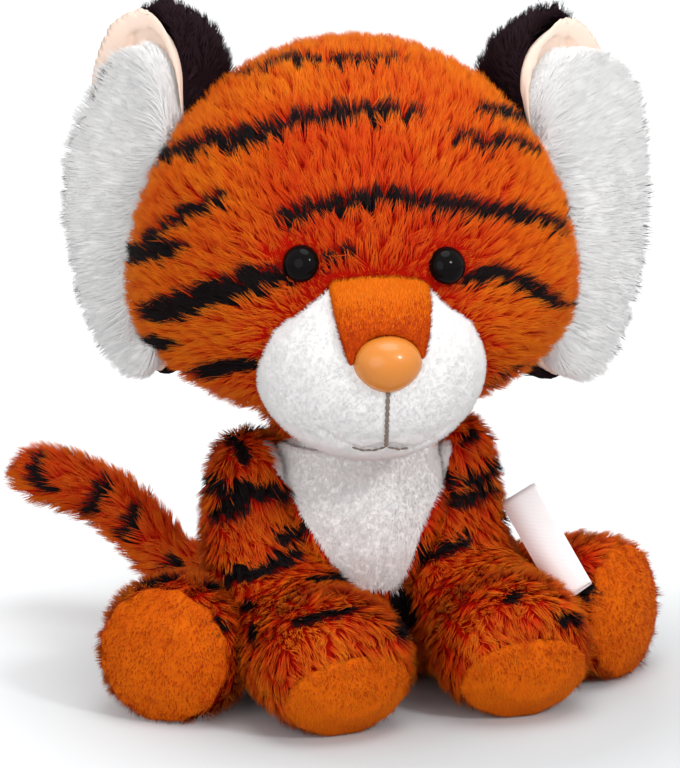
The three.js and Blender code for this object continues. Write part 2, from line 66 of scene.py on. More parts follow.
# Ears: where they open to, the bare satin under the tip's outer side, and the fur that hides the rim

EAR_FACING = math.radians(33)
EAR_BARE = {"left": 8 * MM, "right": 22 * MM}
EAR_NARROW = {"left": 0.15, "right": 0.42}
EAR_LEAN = {"left": 0.0, "right": 4 * MM}
EAR_COVER = 1.03
EAR_TRIM = {"left": 0.45, "right": 0.55}
OUTLINE_STEPS = 120
CREASE_DEPTH, CREASE_WIDTH, RIM_TURN = 0.7 * MM, 0.8 * MM, 2.3 * MM

# The view of the photograph: one pixel is a fifth of a millimetre where the tiger sits

VIEW_AZIMUTH = math.radians(-18)
VIEW_ELEVATION = math.radians(15)
VIEW_DISTANCE = 1.1
FRAME_WIDTH, FRAME_HEIGHT = 680, 768
PIXEL = 0.2 * MM
ORIGIN_PIXEL = (355, 672)
AIM_DEPTH = Vector((0, -5 * MM, 70 * MM))

# The stage: the floor, whose bluish grey is a painted shadow round the tiger and offsets the orange light
# bounced from the fur, and which glows for the camera away from the tiger, and the lamps as
# (name, place, size, watts)

FLOOR_COLOUR = (0.54, 0.56, 0.57, 1)
GLOW_CENTRE = (10 * MM, -30 * MM, 0)
GLOW_START, GLOW_WIDTH, GLOW_STRENGTH = 40 * MM, 90 * MM, 0.5
ROOM_STRENGTH = 0.68
LAMP_AIM = Vector((0, 0, 60 * MM))
LAMPS = (
    ("key", (0.5, -1.0, 0.8), 0.22, 6.6),
    ("fill", (-0.9, -0.9, 0.5), 1.1, 6.0),
    ("top", (0.1, -0.1, 1.3), 0.9, 8.4),
)

# Stripes, as (width in pixels, points in pixels of the photograph's frame)

HEAD_STRIPES = [
    (15, [(233, 74), (285, 56), (328, 57), (404, 55)]),
    (9, [(290, 37), (303, 34)]),
    (8, [(352, 31), (372, 32)]),
    (18, [(229, 148), (262, 130), (296, 117), (350, 108), (422, 108)]),
    (14, [(454, 132), (491, 142), (513, 136), (556, 157)]),
    (12, [(168, 149), (218, 130)]),
    (17, [(276, 216), (311, 206), (383, 193), (427, 199), (492, 208), (546, 217), (582, 238)]),
    (17, [(136, 245), (173, 217), (223, 192)]),
    (25, [(286, 268), (250, 280), (205, 294), (171, 308), (131, 316)]),
    (8, [(316, 260), (335, 251), (356, 246)]),
    (16, [(466, 276), (503, 271), (535, 288), (574, 312)]),
    (19, [(190, 378), (222, 370), (258, 366)]),
    (12, [(526, 366), (490, 392)]),
]

BODY_STRIPES = [
    (15, [(222, 430), (250, 462)]),
    (13, [(232, 489), (270, 492), (302, 495)]),
    (15, [(205, 519), (249, 509)]),
    (15, [(280, 539), (333, 530)]),
    (16, [(208, 585), (262, 570), (303, 552)]),
    (14, [(311, 575), (352, 576)]),
    (13, [(240, 607), (252, 606)]),
    (13, [(290, 622), (330, 613), (362, 606)]),
    (22, [(402, 596), (404, 640)]),
    (15, [(441, 507), (500, 491)]),
    (15, [(398, 566), (436, 553), (473, 538)]),
    (12, [(505, 604), (524, 590)]),
    (14, [(560, 622), (584, 618)]),
    (13, [(480, 432), (462, 446)]),
    (14, [(136, 584), (176, 572)]),
    (10, [(186, 548), (200, 532)]),
    (12, [(592, 674), (600, 688)]),
    (12, [(652, 616), (668, 640)]),
]

TAIL_STRIPES = [
    (17, [(38, 448), (30, 476), (44, 490)]),
    (15, [(106, 472), (92, 500), (82, 518)]),
    (15, [(138, 500), (126, 524), (116, 540)]),
    (15, [(172, 556), (158, 578)]),
]

# Mouth: a seam across the chin, and the stitches as (width in pixels, points in pixels)

SMILE = [(322, 432), (340, 444), (362, 451), (386, 446), (412, 449), (432, 441), (450, 426)]
MOUTH_STITCHES = [
    (4.8, [(388, 391), (387, 418), (386, 446)]),
    (2.4, [(385, 447), (374, 450), (362, 450), (352, 447)]),
    (2.4, [(388, 447), (398, 449), (408, 448)]),
]
SEAM_DEPTH, SEAM_WIDTH, SEAM_REACH = 1.0 * MM, 1.0 * MM, 4 * MM
STITCH_PITCH, STITCH_FILL, STITCH_LIFT = 1.45 * MM, 0.56, 0.15
NOSE_DEPTH, EYE_DEPTH = 5.4 * MM, 3.0 * MM

# The folded ribbon: half the height of its loop, how deep the seam holds it, and its thickness

RIBBON_LOOP, RIBBON_SUNK, RIBBON_THICKNESS = 0.62 * MM, 1.5 * MM, 0.22 * MM
RIBBON_STEPS = 18

# Corners where the white of the muzzle ends beside the bridge, and the outline of the white chest

MUZZLE_CORNERS = [(329, 281), (429, 284)]
CHEST_OUTLINE = [(262, 440), (276, 470), (290, 490), (305, 520), (330, 560), (350, 590),
                 (398, 590), (412, 560), (425, 520), (440, 490), (447, 470), (452, 440), (360, 425)]

# Stripes that the photograph doesn't show, as (view azimuth, width, points) in millimetres

HIDDEN_STRIPES = [
    (90, 3.6, [(-12, 96), (0, 90), (12, 86), (30, 87)]),
    (90, 3.4, [(-16, 76), (0, 71), (14, 68), (28, 70)]),
    (-90, 3.6, [(12, 94), (0, 90), (-12, 87), (-30, 88)]),
    (-90, 3.4, [(10, 74), (0, 71), (-14, 68), (-28, 70)]),
    (180, 3.6, [(-24, 116), (-8, 119), (8, 118), (22, 113)]),
    (180, 3.8, [(-34, 101), (-14, 104), (4, 103), (18, 100)]),
    (180, 3.8, [(-16, 87), (4, 89), (22, 87), (38, 83)]),
    (180, 3.6, [(-38, 76), (-18, 73), (0, 73), (12, 74)]),
    (180, 3.2, [(-8, 62), (12, 60), (26, 62)]),
    (180, 3.2, [(-20, 44), (-6, 46), (8, 45), (20, 42)]),
    (180, 3.4, [(-24, 32), (-10, 35), (4, 34)]),
    (180, 3.2, [(6, 27), (18, 27), (26, 24)]),
    (180, 3.0, [(-24, 18), (-14, 21), (-4, 20)]),
]

# The same on both sides

for hidden_width, hidden_points in (
    (3.4, [(-18, 119), (-4, 112), (8, 108), (22, 107)]),
    (3.0, [(-4, 58), (10, 55), (20, 56)]),
    (3.0, [(-14, 40), (-4, 42), (6, 41)]),
    (3.0, [(2, 28), (10, 30), (18, 28)]),
    (3.0, [(-34, 18), (-26, 22), (-16, 21)]),
    (3.0, [(-6, 13), (2, 18), (10, 17)]),
):
    for sign in SIDES.values():
        HIDDEN_STRIPES.append((90 * sign, hidden_width, [(x * sign, z) for x, z in hidden_points]))


def srgb(*channels):
    """A colour as it is written for a screen, from 0 to 255, made linear."""
    return tuple(c / 3294.6 if c <= 10.31 else ((c / 255 + 0.055) / 1.055) ** 2.4 for c in channels)


def colour_setting(name, description, colour):
    return FloatVectorProperty(
        name=name, description=description, subtype="COLOR", size=3, min=0, max=1, default=srgb(*colour))


def length_setting(name, description, millimetres):
    return FloatProperty(
        name=name, description=description, unit="LENGTH", min=0, precision=5, default=millimetres * MM)


# Sizes and colours that a user would change


class PlushTigerFur(bpy.types.PropertyGroup):
    head: length_setting("Head fur", "Length of the fur on the head", 4.4)
    body: length_setting("Body fur", "Length of the fur on the body, limbs and tail", 4.0)
    width: length_setting("Strand width", "Width of a strand of the long fur", 0.31)
    tuft: length_setting("Tuft", "Distance from one tuft of fur to the next", 1.9)
    density: FloatProperty(name="Density", description="Strands on a square millimetre", min=0.1, default=6.8)
    ear: length_setting("Ear fur", "Length of the white fur in the ears", 6.5)
    ear_width: length_setting("Ear strand width", "Width of a strand in the ears", 0.32)
    back: length_setting("Ear backs", "Length of the dark plush on the ears", 2.8)
    pile: length_setting("Short pile", "Length of the nap on the muzzle, bib and soles", 0.9)
    pile_width: length_setting("Nap width", "Width of a strand of the short pile", 0.22)
    seed: IntProperty(name="Seed", description="Start of the random draws", min=0, default=7)


class PlushTigerColours(bpy.types.PropertyGroup):
    # The fur's root and tip colours carry painted shade at the roots and painted highlight at the golden
    # tips, along with the fur's own colour.
    gold: colour_setting("Golden tips", "Tips of the palest strands of the orange fur", (250, 148, 22))
    orange_tip: colour_setting("Orange tips", "Outer half of the orange fur", (234, 76, 4))
    orange_root: colour_setting("Orange roots", "Inner half of the orange fur", (192, 18, 2))
    stripe: colour_setting("Stripes", "Printed stripes", (26, 17, 18))
    short_orange: colour_setting("Short orange pile", "Soles, paw pads and bridge of the nose", (232, 118, 8))
    # The red share of the short pile grows with height: downwards on the nose bridge, upwards on the pads and
    # soles.
    short_red: colour_setting("Short red pile", "Where the short orange pile is brushed flat", (164, 36, 4))
    white: colour_setting("White pile", "Muzzle and bib", (240, 238, 237))
    ear_white: colour_setting("White fur", "Fur in the ears", (254, 253, 252))
    ear_back: colour_setting("Ear backs", "Dark plush of the ears", (38, 22, 27))
    lining: colour_setting("Ear lining", "Satin lining", (252, 224, 206))
    nose: colour_setting("Nose", "Moulded nose", (212, 128, 44))
    thread: colour_setting("Thread", "Stitches of the mouth", (122, 96, 76))


# Shader maths as Python expressions


class Wire:
    """One outlet of a finish's nodes, so that its maths reads as Python."""

    def __init__(self, finish, socket):
        self.finish, self.socket = finish, socket

    def maths(self, operation, first, second=0.0, clamp=False):
        settings = {"operation": operation, "use_clamp": clamp}
        return self.finish.node("ShaderNodeMath", settings, {0: first, 1: second})

    def __add__(self, other):
        return self.maths("ADD", self, other)

    def __sub__(self, other):
        return self.maths("SUBTRACT", self, other)

    def __mul__(self, other):
        return self.maths("MULTIPLY", self, other)

    def __pow__(self, power):
        return self.maths("POWER", self, power)

    def __gt__(self, edge):
        return self.maths("GREATER_THAN", self, edge)

    def clamped(self):
        return self.maths("ADD", self, 0.0, clamp=True)

    def part(self):
        return self.maths("FRACT", self)


class Finish:
    """The material of one cloth or plastic, put together node by node."""

    def __init__(self, name, roughness, **steady):
        self.material = bpy.data.materials.new(name)
        self.material.use_nodes = True
        self.tree = self.material.node_tree
        self.shader = self.tree.nodes["Principled BSDF"]
        self.shader.inputs["Roughness"].default_value = roughness
        for socket, value in steady.items():
            self.shader.inputs[socket.replace("_", " ")].default_value = value

    def node(self, kind, settings=None, inlets=None, outlet=0):
        node = self.tree.nodes.new(kind)
        for name, value in (settings or {}).items():
            setattr(node, name, value)
        for name, value in (inlets or {}).items():
            if isinstance(value, Wire):
                self.tree.links.new(value.socket, node.inputs[name])
            else:
                node.inputs[name].default_value = value
        return Wire(self, node.outputs[outlet])

    def mix(self, share, first, second):
        first, second = [(*c, 1) if isinstance(c, tuple) and len(c) == 3 else c for c in (first, second)]
        return self.node("ShaderNodeMix", {"data_type": "RGBA"}, {0: share, 6: first, 7: second}, 2)

    def place(self):
        return self.node("ShaderNodeTexCoord", outlet="Object")

    def stretched(self, along):
        return self.node("ShaderNodeMapping", None, {0: self.place(), 3: (1.0, 1.0, along)})

    def noise(self, size, detail=2.0, place=None, rough=0.5):
        inlets = {"Vector": place or self.place(), "Scale": 1 / size, "Detail": detail, "Roughness": rough}
        return self.node("ShaderNodeTexNoise", None, inlets)

    def attribute(self, name):
        return self.node("ShaderNodeAttribute", {"attribute_name": name}, outlet="Fac")

    def height(self):
        return self.node("ShaderNodeSeparateXYZ", None, {0: self.place()}, "Z")

    def along(self, name, axis):
        where = self.node("ShaderNodeUVMap", {"uv_map": name})
        return self.node("ShaderNodeSeparateXYZ", None, {0: where}, axis)

    def colour(self, wire):
        self.tree.links.new(wire.socket, self.shader.inputs["Base Color"])

    def roughness(self, wire):
        self.tree.links.new(wire.socket, self.shader.inputs["Roughness"])

    def bump(self, height, strength, distance):
        inlets = {"Strength": strength, "Distance": distance, "Height": height}
        bump = self.node("ShaderNodeBump", None, inlets)
        self.tree.links.new(bump.socket, self.shader.inputs["Normal"])


def mixed(share, first, second):
    return tuple(a + (b - a) * share for a, b in zip(first, second))


def strand_finish(name, root, tip, dark_root, dark_tip, pale_tip=None):
    """Fur strands: the map's first number picks the tone, its second runs from root to tip."""
    finish = Finish(name, 0.6, Specular_IOR_Level=0.08)
    tone, height = finish.along("OFBake", 0), finish.along("OFBake", 1)
    shade = (tone * 2.0).part()
    # Painted shade and highlight: a strand darkens and reddens towards its root and pales towards its tip,
    # golden on the palest tones. This is partly the fur's own colour, partly painted shade in the valleys
    # between tufts and painted highlight on the tips. The greyer roots of white strands are painted shade
    # alone.
    low = finish.mix(shade, root, mixed(0.3, root, tip))
    high = finish.mix(shade, mixed(0.4, root, tip), pale_tip or tip)
    fur = finish.mix(height ** 1.5, low, high)
    dark = finish.mix(height, dark_root, finish.mix(shade, dark_tip, mixed(0.5, dark_root, dark_tip)))
    finish.colour(finish.mix(tone > 0.5, fur, dark))
    return finish.material


def backing_finish(name, light, dark, pale):
    """The cloth under the fur, printed with the same stripes and white at the bib."""
    finish = Finish(name, 0.85, Specular_IOR_Level=0.05)
    mottle = finish.noise(2.2 * MM, 4.0)
    cloth = finish.mix(mottle, mixed(0.35, light, BLACK), light)
    printed = finish.mix(finish.attribute("stripe"), cloth, dark)
    finish.colour(finish.mix(finish.attribute("pale"), printed, pale))
    finish.bump(finish.noise(0.9 * MM, 3.0), 0.8, 0.6 * MM)
    return finish.material


def pile_finish(name, light, deep, patch, nap, graded=None):
    """Short pile: a fine upright nap over broad patches, deeper in colour towards one height."""
    finish = Finish(name, 0.85, Specular_IOR_Level=0.05)
    broad = (finish.noise(patch, 2.0) * 2.0 - 0.5).clamped()
    fine = finish.noise(nap, 3.0, finish.stretched(0.3), 0.6)
    share = broad * 0.45 + fine * 0.55
    if graded:
        full, bare = graded
        share = share * 0.5 + (finish.height() - bare) * (0.5 / (full - bare))
    finish.colour(finish.mix(share.clamped(), deep, light))
    finish.bump(fine, 0.3, 0.3 * MM)
    return finish.material


def satin_finish(name, colour):
    """Smooth satin with a faint grain and soft shade changes."""
    finish = Finish(name, 0.48, Specular_IOR_Level=0.3, Sheen_Weight=0.15)
    broad = finish.noise(7 * MM, 2.0)
    finish.colour(finish.mix(broad, mixed(0.14, colour, (0.35, 0.2, 0.16)), colour))
    finish.bump(finish.noise(0.35 * MM, 2.0, finish.stretched(0.3)), 0.25, 0.1 * MM)
    return finish.material


def moulded_finish(name, colour, roughness, coat, gloss=0.35):
    """Moulded plastic: slight cloudiness and a fine skin."""
    finish = Finish(name, roughness, Specular_IOR_Level=gloss, Coat_Weight=coat, Coat_Roughness=0.05)
    cloud = finish.noise(3 * MM, 3.0)
    finish.colour(finish.mix(cloud, mixed(0.12, colour, BLACK), colour))
    finish.roughness(finish.noise(1.2 * MM, 3.0) * 0.1 + (roughness - 0.05))
    finish.bump(finish.noise(0.5 * MM, 2.0), 0.06, 0.1 * MM)
    return finish.material


def thread_finish(name, colour):
    """Twisted embroidery thread, with streaks along its plies drawn darker and paler than its colour: painted
    shade and painted highlight.
    """
    finish = Finish(name, 0.6, Specular_IOR_Level=0.25, Sheen_Weight=0.1)
    plies = finish.noise(0.4 * MM, 2.0, finish.stretched(2.2))
    finish.colour(finish.mix(plies, mixed(0.55, colour, BLACK), mixed(0.15, colour, (1, 1, 1))))
    finish.bump(plies, 0.7, 0.2 * MM)
    return finish.material


def ribbon_finish(name, colour):
    """White woven satin ribbon, greyed a little in broad patches and between the weave's bands: painted
    shade.
    """
    finish = Finish(name, 0.42, Specular_IOR_Level=0.35, Sheen_Weight=0.1)
    inlets = {"Vector": finish.place(), "Scale": 1 / (2.2 * MM), "Distortion": 1.5, "Detail": 2.0}
    settings = {"wave_type": "BANDS", "bands_direction": "DIAGONAL"}
    weave = finish.node("ShaderNodeTexWave", settings, inlets, "Fac")
    shade = finish.noise(4 * MM, 2.0)
    finish.colour(finish.mix(shade * 0.6 + weave * 0.2, mixed(0.1, colour, (0.5, 0.45, 0.5)), colour))
    finish.bump(weave, 0.2, 0.08 * MM)
    return finish.material


# Forms


def tree_of(mesh, height=0.0):
    """A form as rays meet it, at a height over its surface."""
    places = [v.co + v.normal * height for v in mesh.vertices]
    return BVHTree.FromPolygons(places, [p.vertices for p in mesh.polygons])


def mesh_of(bm, name):
    """Turns a finished bmesh into a mesh."""
    mesh = bpy.data.meshes.new(name)
    bm.to_mesh(mesh)
    bm.free()
    return mesh


def linked(name, data):
    """A new object in the scene."""
    thing = bpy.data.objects.new(name, data)
    bpy.context.scene.collection.objects.link(thing)
    return thing


def shifted(bm, steps):
    """Moves each vert by its own step."""
    for vert, step in zip(bm.verts, steps):
        vert.co += Vector(step)


def set_down(bm, verts, centre, turn):
    """Turns verts about the origin and moves them to their place."""
    bmesh.ops.transform(bm, matrix=Matrix.Translation(centre) @ turn.to_4x4(), verts=verts)


def array_of(collection, name, width):
    values = np.empty(len(collection) * width, np.float32)
    collection.foreach_get(name, values)
    return values.reshape(-1, width)


def surface(mesh):
    """A mesh's points and the normals there."""
    return (array_of(mesh.vertices, name, 3).astype(float) for name in ("co", "normal"))


def largest_island(bm):
    """Removes all but the biggest closed surface."""
    bm.verts.ensure_lookup_table()
    seen, islands = set(), []
    for start in bm.verts:
        if start in seen:
            continue
        seen.add(start)
        island, front = [start], [start]
        while front:
            for edge in front.pop().link_edges:
                for vert in edge.verts:
                    if vert not in seen:
                        seen.add(vert)
                        island.append(vert)
                        front.append(vert)
        islands.append(island)
    biggest = max(islands, key=len)
    rest = [v for island in islands if island is not biggest for v in island]
    bmesh.ops.delete(bm, geom=rest, context="VERTS")


def stuffed_form(name, nodes, pitch, rounds, swell):
    """One closed smooth form around the solids of the named CAD nodes."""
    bm = bmesh.new()
    for node in nodes:
        bm.from_mesh(frame["nodes"][node].data)
    bmesh.ops.remove_doubles(bm, verts=bm.verts, dist=0.001 * MM)
    rough = mesh_of(bm, name + "_rough")
    holder = linked(name + "_rough", rough)
    remesh = holder.modifiers.new("Remesh", "REMESH")
    remesh.mode = "VOXEL"
    remesh.voxel_size = pitch
    even = holder.evaluated_get(bpy.context.evaluated_depsgraph_get()).to_mesh()
    bm = bmesh.new()
    bm.from_mesh(even)
    bpy.data.objects.remove(holder)
    bpy.data.meshes.remove(rough)
    largest_island(bm)
    for _ in range(rounds):
        bmesh.ops.smooth_vert(
            bm, verts=bm.verts, factor=0.5, use_axis_x=True, use_axis_y=True, use_axis_z=True)
    bm.normal_update()
    for vert in bm.verts:
        vert.co += vert.normal * swell
        vert.co.z = max(vert.co.z, 0.05 * MM)
    return bm


def keep_piece(bm, name, material, body, nodes=()):
    """Turns a mesh into a finished piece that rides on its body."""
    mesh = mesh_of(bm, name)
    mesh.materials.append(material)
    for face in mesh.polygons:
        face.use_smooth = True
    piece = linked(name, mesh)
    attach(piece, body)
    if nodes:
        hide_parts(*nodes)
    return piece


# Stripes on the forms


def view_axes(azimuth, elevation):
    """Right, up and towards the viewer."""
    right = Vector((math.cos(azimuth), math.sin(azimuth), 0))
    level = math.cos(elevation)
    toward = Vector((math.sin(azimuth) * level, -math.cos(azimuth) * level, math.sin(elevation)))
    return right, toward.cross(right), toward


def photo_axis():
    """The point that the middle of the photograph's frame looks at, and the axes there."""
    right, up, toward = view_axes(VIEW_AZIMUTH, VIEW_ELEVATION)
    middle = pixel_point(FRAME_WIDTH / 2, FRAME_HEIGHT / 2)
    return middle, right, up, toward


def pixel_point(across, down):
    right, up, toward = view_axes(VIEW_AZIMUTH, VIEW_ELEVATION)
    x, y = (across - ORIGIN_PIXEL[0]) * PIXEL, (ORIGIN_PIXEL[1] - down) * PIXEL
    return right * x + up * y + toward * AIM_DEPTH.dot(toward)


def photo_pixels(points):
    """Where points in space appear in the photograph's frame."""
    middle, right, up, toward = (np.array(v) for v in photo_axis())
    lens = middle + toward * VIEW_DISTANCE
    rays = points - lens
    flat = lens + rays * (-VIEW_DISTANCE / (rays @ toward))[:, None]
    return np.stack([ORIGIN_PIXEL[0] + flat @ right / PIXEL, ORIGIN_PIXEL[1] - flat @ up / PIXEL], 1)


def within(pixels, outline):
    """Which pixels lie inside an outline."""
    inside = np.zeros(len(pixels), bool)
    for (x0, y0), (x1, y1) in zip(outline, outline[1:] + outline[:1]):
        if y0 != y1:
            crosses = (pixels[:, 1] < y0) != (pixels[:, 1] < y1)
            inside ^= crosses & (pixels[:, 0] < x0 + (x1 - x0) * (pixels[:, 1] - y0) / (y1 - y0))
    return inside


def on_chest(points):
    """Which points lie in the white of the chest."""
    return within(photo_pixels(points), CHEST_OUTLINE) & (points[:, 1] < 0)


def refined(points, steps=6):
    """The points of a line, with others between them."""
    line = []
    for start, end in zip(points, points[1:]):
        for i in range(steps):
            line.append(tuple(a + (b - a) * i / steps for a, b in zip(start, end)))
    return line + [points[-1]]


def cast(trees, start, heading):
    """The first place where a ray meets any of the forms."""
    hits = [tree.ray_cast(start, heading) for tree in trees]
    hits = [hit for hit in hits if hit[0] is not None]
    return min(hits, key=lambda hit: hit[3])[0] if hits else None


def cast_photo(trees, stripes):
    """Lines of the photograph's frame laid on forms, each with half its width."""
    middle, _, _, toward = photo_axis()
    lens = middle + toward * VIEW_DISTANCE
    lines = []
    for width, points in stripes:
        line = [cast(trees, lens, (pixel_point(*p) - lens).normalized()) for p in refined(points)]
        lines.append((width * PIXEL / 2, [p for p in line if p is not None]))
    return lines


def cast_hidden(trees, stripes):
    """The same for lines that are drawn in a level view from one side."""
    lines = []
    for degrees, width, points in stripes:
        right, up, toward = view_axes(math.radians(degrees), 0)
        starts = [right * x * MM + up * z * MM + toward * VIEW_DISTANCE for x, z in refined(points)]
        line = [cast(trees, start, -toward) for start in starts]
        lines.append((width * MM / 2, [p for p in line if p is not None]))
    return lines


def ripple(points, size, phase):
    """A smooth pseudo-random number from -1 to 1 for each point."""
    x, y, z = (points / size).T
    a = np.sin(1.7 * x + 2.3 * y + phase) + np.sin(2.1 * y - 1.3 * z + 2 * phase)
    a = a + np.sin(1.9 * z + 1.1 * x + 3 * phase)
    b = np.sin(3.7 * x - 2.9 * z + 5 * phase) + np.sin(4.1 * y + 3.1 * x - phase)
    return (a + 0.6 * b) / 4.2


def striped(points, lines):
    """How far each point lies in a stripe, from 0 to 1, with ragged edges."""
    best = np.full(len(points), -1.0)
    ragged = ripple(points, 1.6 * MM, 0.4) * 0.55 * MM + ripple(points, 0.6 * MM, 1.9) * 0.35 * MM
    for half, line in lines:
        if len(line) < 2:
            continue
        path = np.array(line)
        starts, ends = path[:-1], path[1:]
        spans = ends - starts
        middle = path.mean(0)
        radius = np.linalg.norm(path - middle, axis=1).max() + 4 * half
        near = np.linalg.norm(points - middle, axis=1) < radius
        chosen = points[near]
        if not len(chosen):
            continue
        offset = chosen[:, None, :] - starts[None]
        along = np.clip((offset * spans).sum(2) / np.maximum((spans**2).sum(1), 1e-12), 0, 1)
        gaps = np.linalg.norm(offset - along[:, :, None] * spans[None], axis=2)
        nearest = gaps.argmin(1)
        place = (nearest + along[np.arange(len(chosen)), nearest]) / len(spans)
        taper = 0.45 + 0.55 * np.sqrt(np.clip(4 * place * (1 - place) * 1.6, 0, 1))
        inside = 1.15 * half * taper + ragged[near] - gaps.min(1)
        best[near] = np.maximum(best[near], inside / (0.5 * MM))
    return np.clip(best * 0.5 + 0.5, 0, 1)


def print_stripes(piece, lines, flow, length):
    """Marks where a form lies under stripes and under the white of the chest, as its fur will show them."""
    points, ups = surface(piece.data)
    rise, run = bend(CREST_SHARE)
    crests = points + USUAL_LENGTH * length * (ups * rise + level_with(flow(points), ups) * run)
    for name, values in (("stripe", striped(crests, lines)), ("pale", on_chest(points) * 1.0)):
        attribute = piece.data.attributes.new(name, "FLOAT", "POINT")
        attribute.data.foreach_set("value", values.astype(np.float32))


# Fur: where along a strand it shows its colour, how long strands usually are as a share of the
# setting, and what one piece may hold

CREST_SHARE = 0.75
USUAL_LENGTH = 0.94
MOST_TRIANGLES = 195000

# The thickness of a strand as a share of its width, how deep its foot stands in the cloth, how far it
# keeps off the floor, the smallest share of the length that still grows, and the share of strands that
# is left out where the form faces down more than this

FLATNESS = 0.32
ROOT_DEPTH, FLOOR_GAP = 0.25 * MM, 0.15 * MM
SHORTEST = 0.12
UNDERSIDE, UNDERSIDE_BARE = -0.6, 0.55

# Fur that faces one way: the least that a strand's place faces there, and how far its shading leans that way

LEAST_FACING, FACING_SHADE = -0.25, 1.8


def strand_shape():
    """One strand, a unit high: a straight three-sided spike."""
    bm = bmesh.new()
    bmesh.ops.create_cone(bm, cap_ends=True, segments=3, radius1=1, radius2=0, depth=1)
    bmesh.ops.remove_doubles(bm, verts=bm.verts, dist=1e-5)
    for vert in bm.verts:
        vert.co.z = 1 if vert.co.z > 0 else 0
    bmesh.ops.triangulate(bm, faces=bm.faces)
    bm.verts.ensure_lookup_table()
    points = np.array([v.co for v in bm.verts])
    faces = np.array([[v.index for v in f.verts] for f in bm.faces])
    bm.free()
    return points, faces


def scatter(mesh, density, rng):
    """Random places spread evenly over a mesh, so many on a square millimetre, and the normals there."""
    mesh.calc_loop_triangles()
    corners = array_of(mesh.loop_triangles, "vertices", 3).astype(int)
    points, normals = surface(mesh)
    a, b, c = (points[corners[:, i]] for i in range(3))
    areas = np.linalg.norm(np.cross(b - a, c - a), axis=1) / 2
    count = int(areas.sum() / MM**2 * density)
    chosen = rng.choice(len(areas), count, p=areas / areas.sum())
    u, v = rng.random((2, count))
    flip = u + v > 1
    u, v = np.where(flip, 1 - u, u), np.where(flip, 1 - v, v)
    shares = np.stack([1 - u - v, u, v], 1)[:, :, None]
    roots = (points[corners[chosen]] * shares).sum(1)
    return roots, unit((normals[corners[chosen]] * shares).sum(1))


def unit(vectors):
    return vectors / np.maximum(np.linalg.norm(vectors, axis=1, keepdims=True), 1e-9)


def away_from(roots, trees, gap):
    """Which places are at least a gap outside the named forms."""
    clear = np.ones(len(roots), bool)
    for tree in trees:
        for i in np.flatnonzero(clear):
            point = Vector(roots[i])
            near, normal, _, distance = tree.find_nearest(point, 12 * MM)
            if near is None:
                continue
            inside = (point - near).dot(normal) < 0
            clear[i] = (not inside) and distance > gap
    return clear


def level_with(vectors, ups):
    """Directions laid flat on the surface that the normals belong to."""
    return unit(vectors - (vectors * ups).sum(1, keepdims=True) * ups)


def bend(share, lift=0.72, lean=1.0):
    """How far a strand of unit length has risen and run out at a share of its length."""
    return lift * share * (1.25 - 0.5 * share * lean), lean * (0.35 * share + 0.5 * share * share)


def coat(name, base, body, slot, material, density, length, width, flow, seed, stripes=(), clear_of=(),
         gap=0.3 * MM, lean=1.0, lift=0.72, clump=0.5, clump_size=None, stray=0.3, soft=0.5, fade=None,
         tone=None, where=None, facing=None, warm=None):
    """Grows strands on a form. Each clump of strands leans its own way and closes at its tips."""
    rng = np.random.default_rng(seed)
    roots, ups = scatter(base.data, density, rng)
    seen = rng.random(len(roots)) > np.where(ups[:, 2] < UNDERSIDE, UNDERSIDE_BARE, 0)
    if where is not None:
        seen &= where(roots)
    if facing is not None:
        seen &= ups @ facing > LEAST_FACING
    roots, ups = roots[seen], ups[seen]
    keep = away_from(roots, clear_of, gap)
    sizes = fade(roots) if fade else np.ones(len(roots))
    keep &= sizes > SHORTEST
    roots, ups, sizes = roots[keep], ups[keep], sizes[keep]
    count = len(roots)
    clump_size = clump_size or fur_settings().tuft
    clumps = max(1, int(count * 1.4 / (density * (clump_size / MM) ** 2)))
    centres = roots[rng.choice(count, clumps, replace=False)]
    tree = kdtree.KDTree(clumps)
    for i, centre in enumerate(centres):
        tree.insert(centre, i)
    tree.balance()
    owners = np.array([tree.find(root)[1] for root in roots])

    swirl = rng.normal(0, stray, (clumps, 3))[owners] + rng.normal(0, 0.38 * stray, (count, 3))
    heading = level_with(level_with(flow(roots), ups) + swirl, ups)
    growth = length * sizes * (0.82 + 0.3 * rng.random(clumps)[owners]) * (0.8 + 0.35 * rng.random(count))
    sideways = np.cross(ups, heading)
    pull = centres[owners] - roots
    pull -= (pull * ups).sum(1, keepdims=True) * ups
    shape, faces = strand_shape()
    widths = width * (0.75 + 0.5 * rng.random(count)) * np.sqrt(np.clip(sizes, 0.3, 1))
    points = np.empty((count, len(shape), 3))
    for i, (x, y, z) in enumerate(shape):
        rise, run = bend(z, lift, lean)
        axis = roots + ups * ((rise * growth)[:, None] - ROOT_DEPTH * (1 - z))
        axis += heading * (run * growth)[:, None]
        axis += pull * clump * z * z
        points[:, i] = axis + sideways * (x * widths / 2)[:, None] + ups * (y * widths * FLATNESS)[:, None]
    points[:, :, 2] = np.maximum(points[:, :, 2], FLOOR_GAP)

    rise, run = bend(CREST_SHARE, lift, lean)
    crests = roots + ups * (rise * growth)[:, None] + heading * (run * growth)[:, None]
    mask = tone(roots) if tone else striped(crests, stripes)
    dark = rng.random(count) < mask
    spread = 0.5 * rng.random(count) + 0.5 * rng.random(clumps)[owners]
    if warm is None and slot == "tiger_plush":
        warm = patchy
    if warm is not None:
        spread = 0.45 * spread + 0.55 * np.clip(warm(roots), 0, 1)
    tones = np.where(dark, 0.52, 0.02) + 0.46 * spread
    if facing is not None:
        front = np.clip(ups @ facing + 0.3, 0, 1)[:, None]
        ups = unit(ups + FACING_SHADE * front * facing)
    order = np.argsort(np.arctan2(*(roots - roots.mean(0)).T[:2]))
    lots = np.array_split(order, math.ceil(count * len(faces) / MOST_TRIANGLES))
    for number, lot in enumerate(lots):
        label = name if len(lots) == 1 else f"{name}_{number + 1}"
        mesh = strands(label, points[lot], faces, shape[:, 2], tones[lot], ups[lot], soft)
        mesh.materials.append(material)
        piece = linked(label, mesh)
        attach(piece, body)


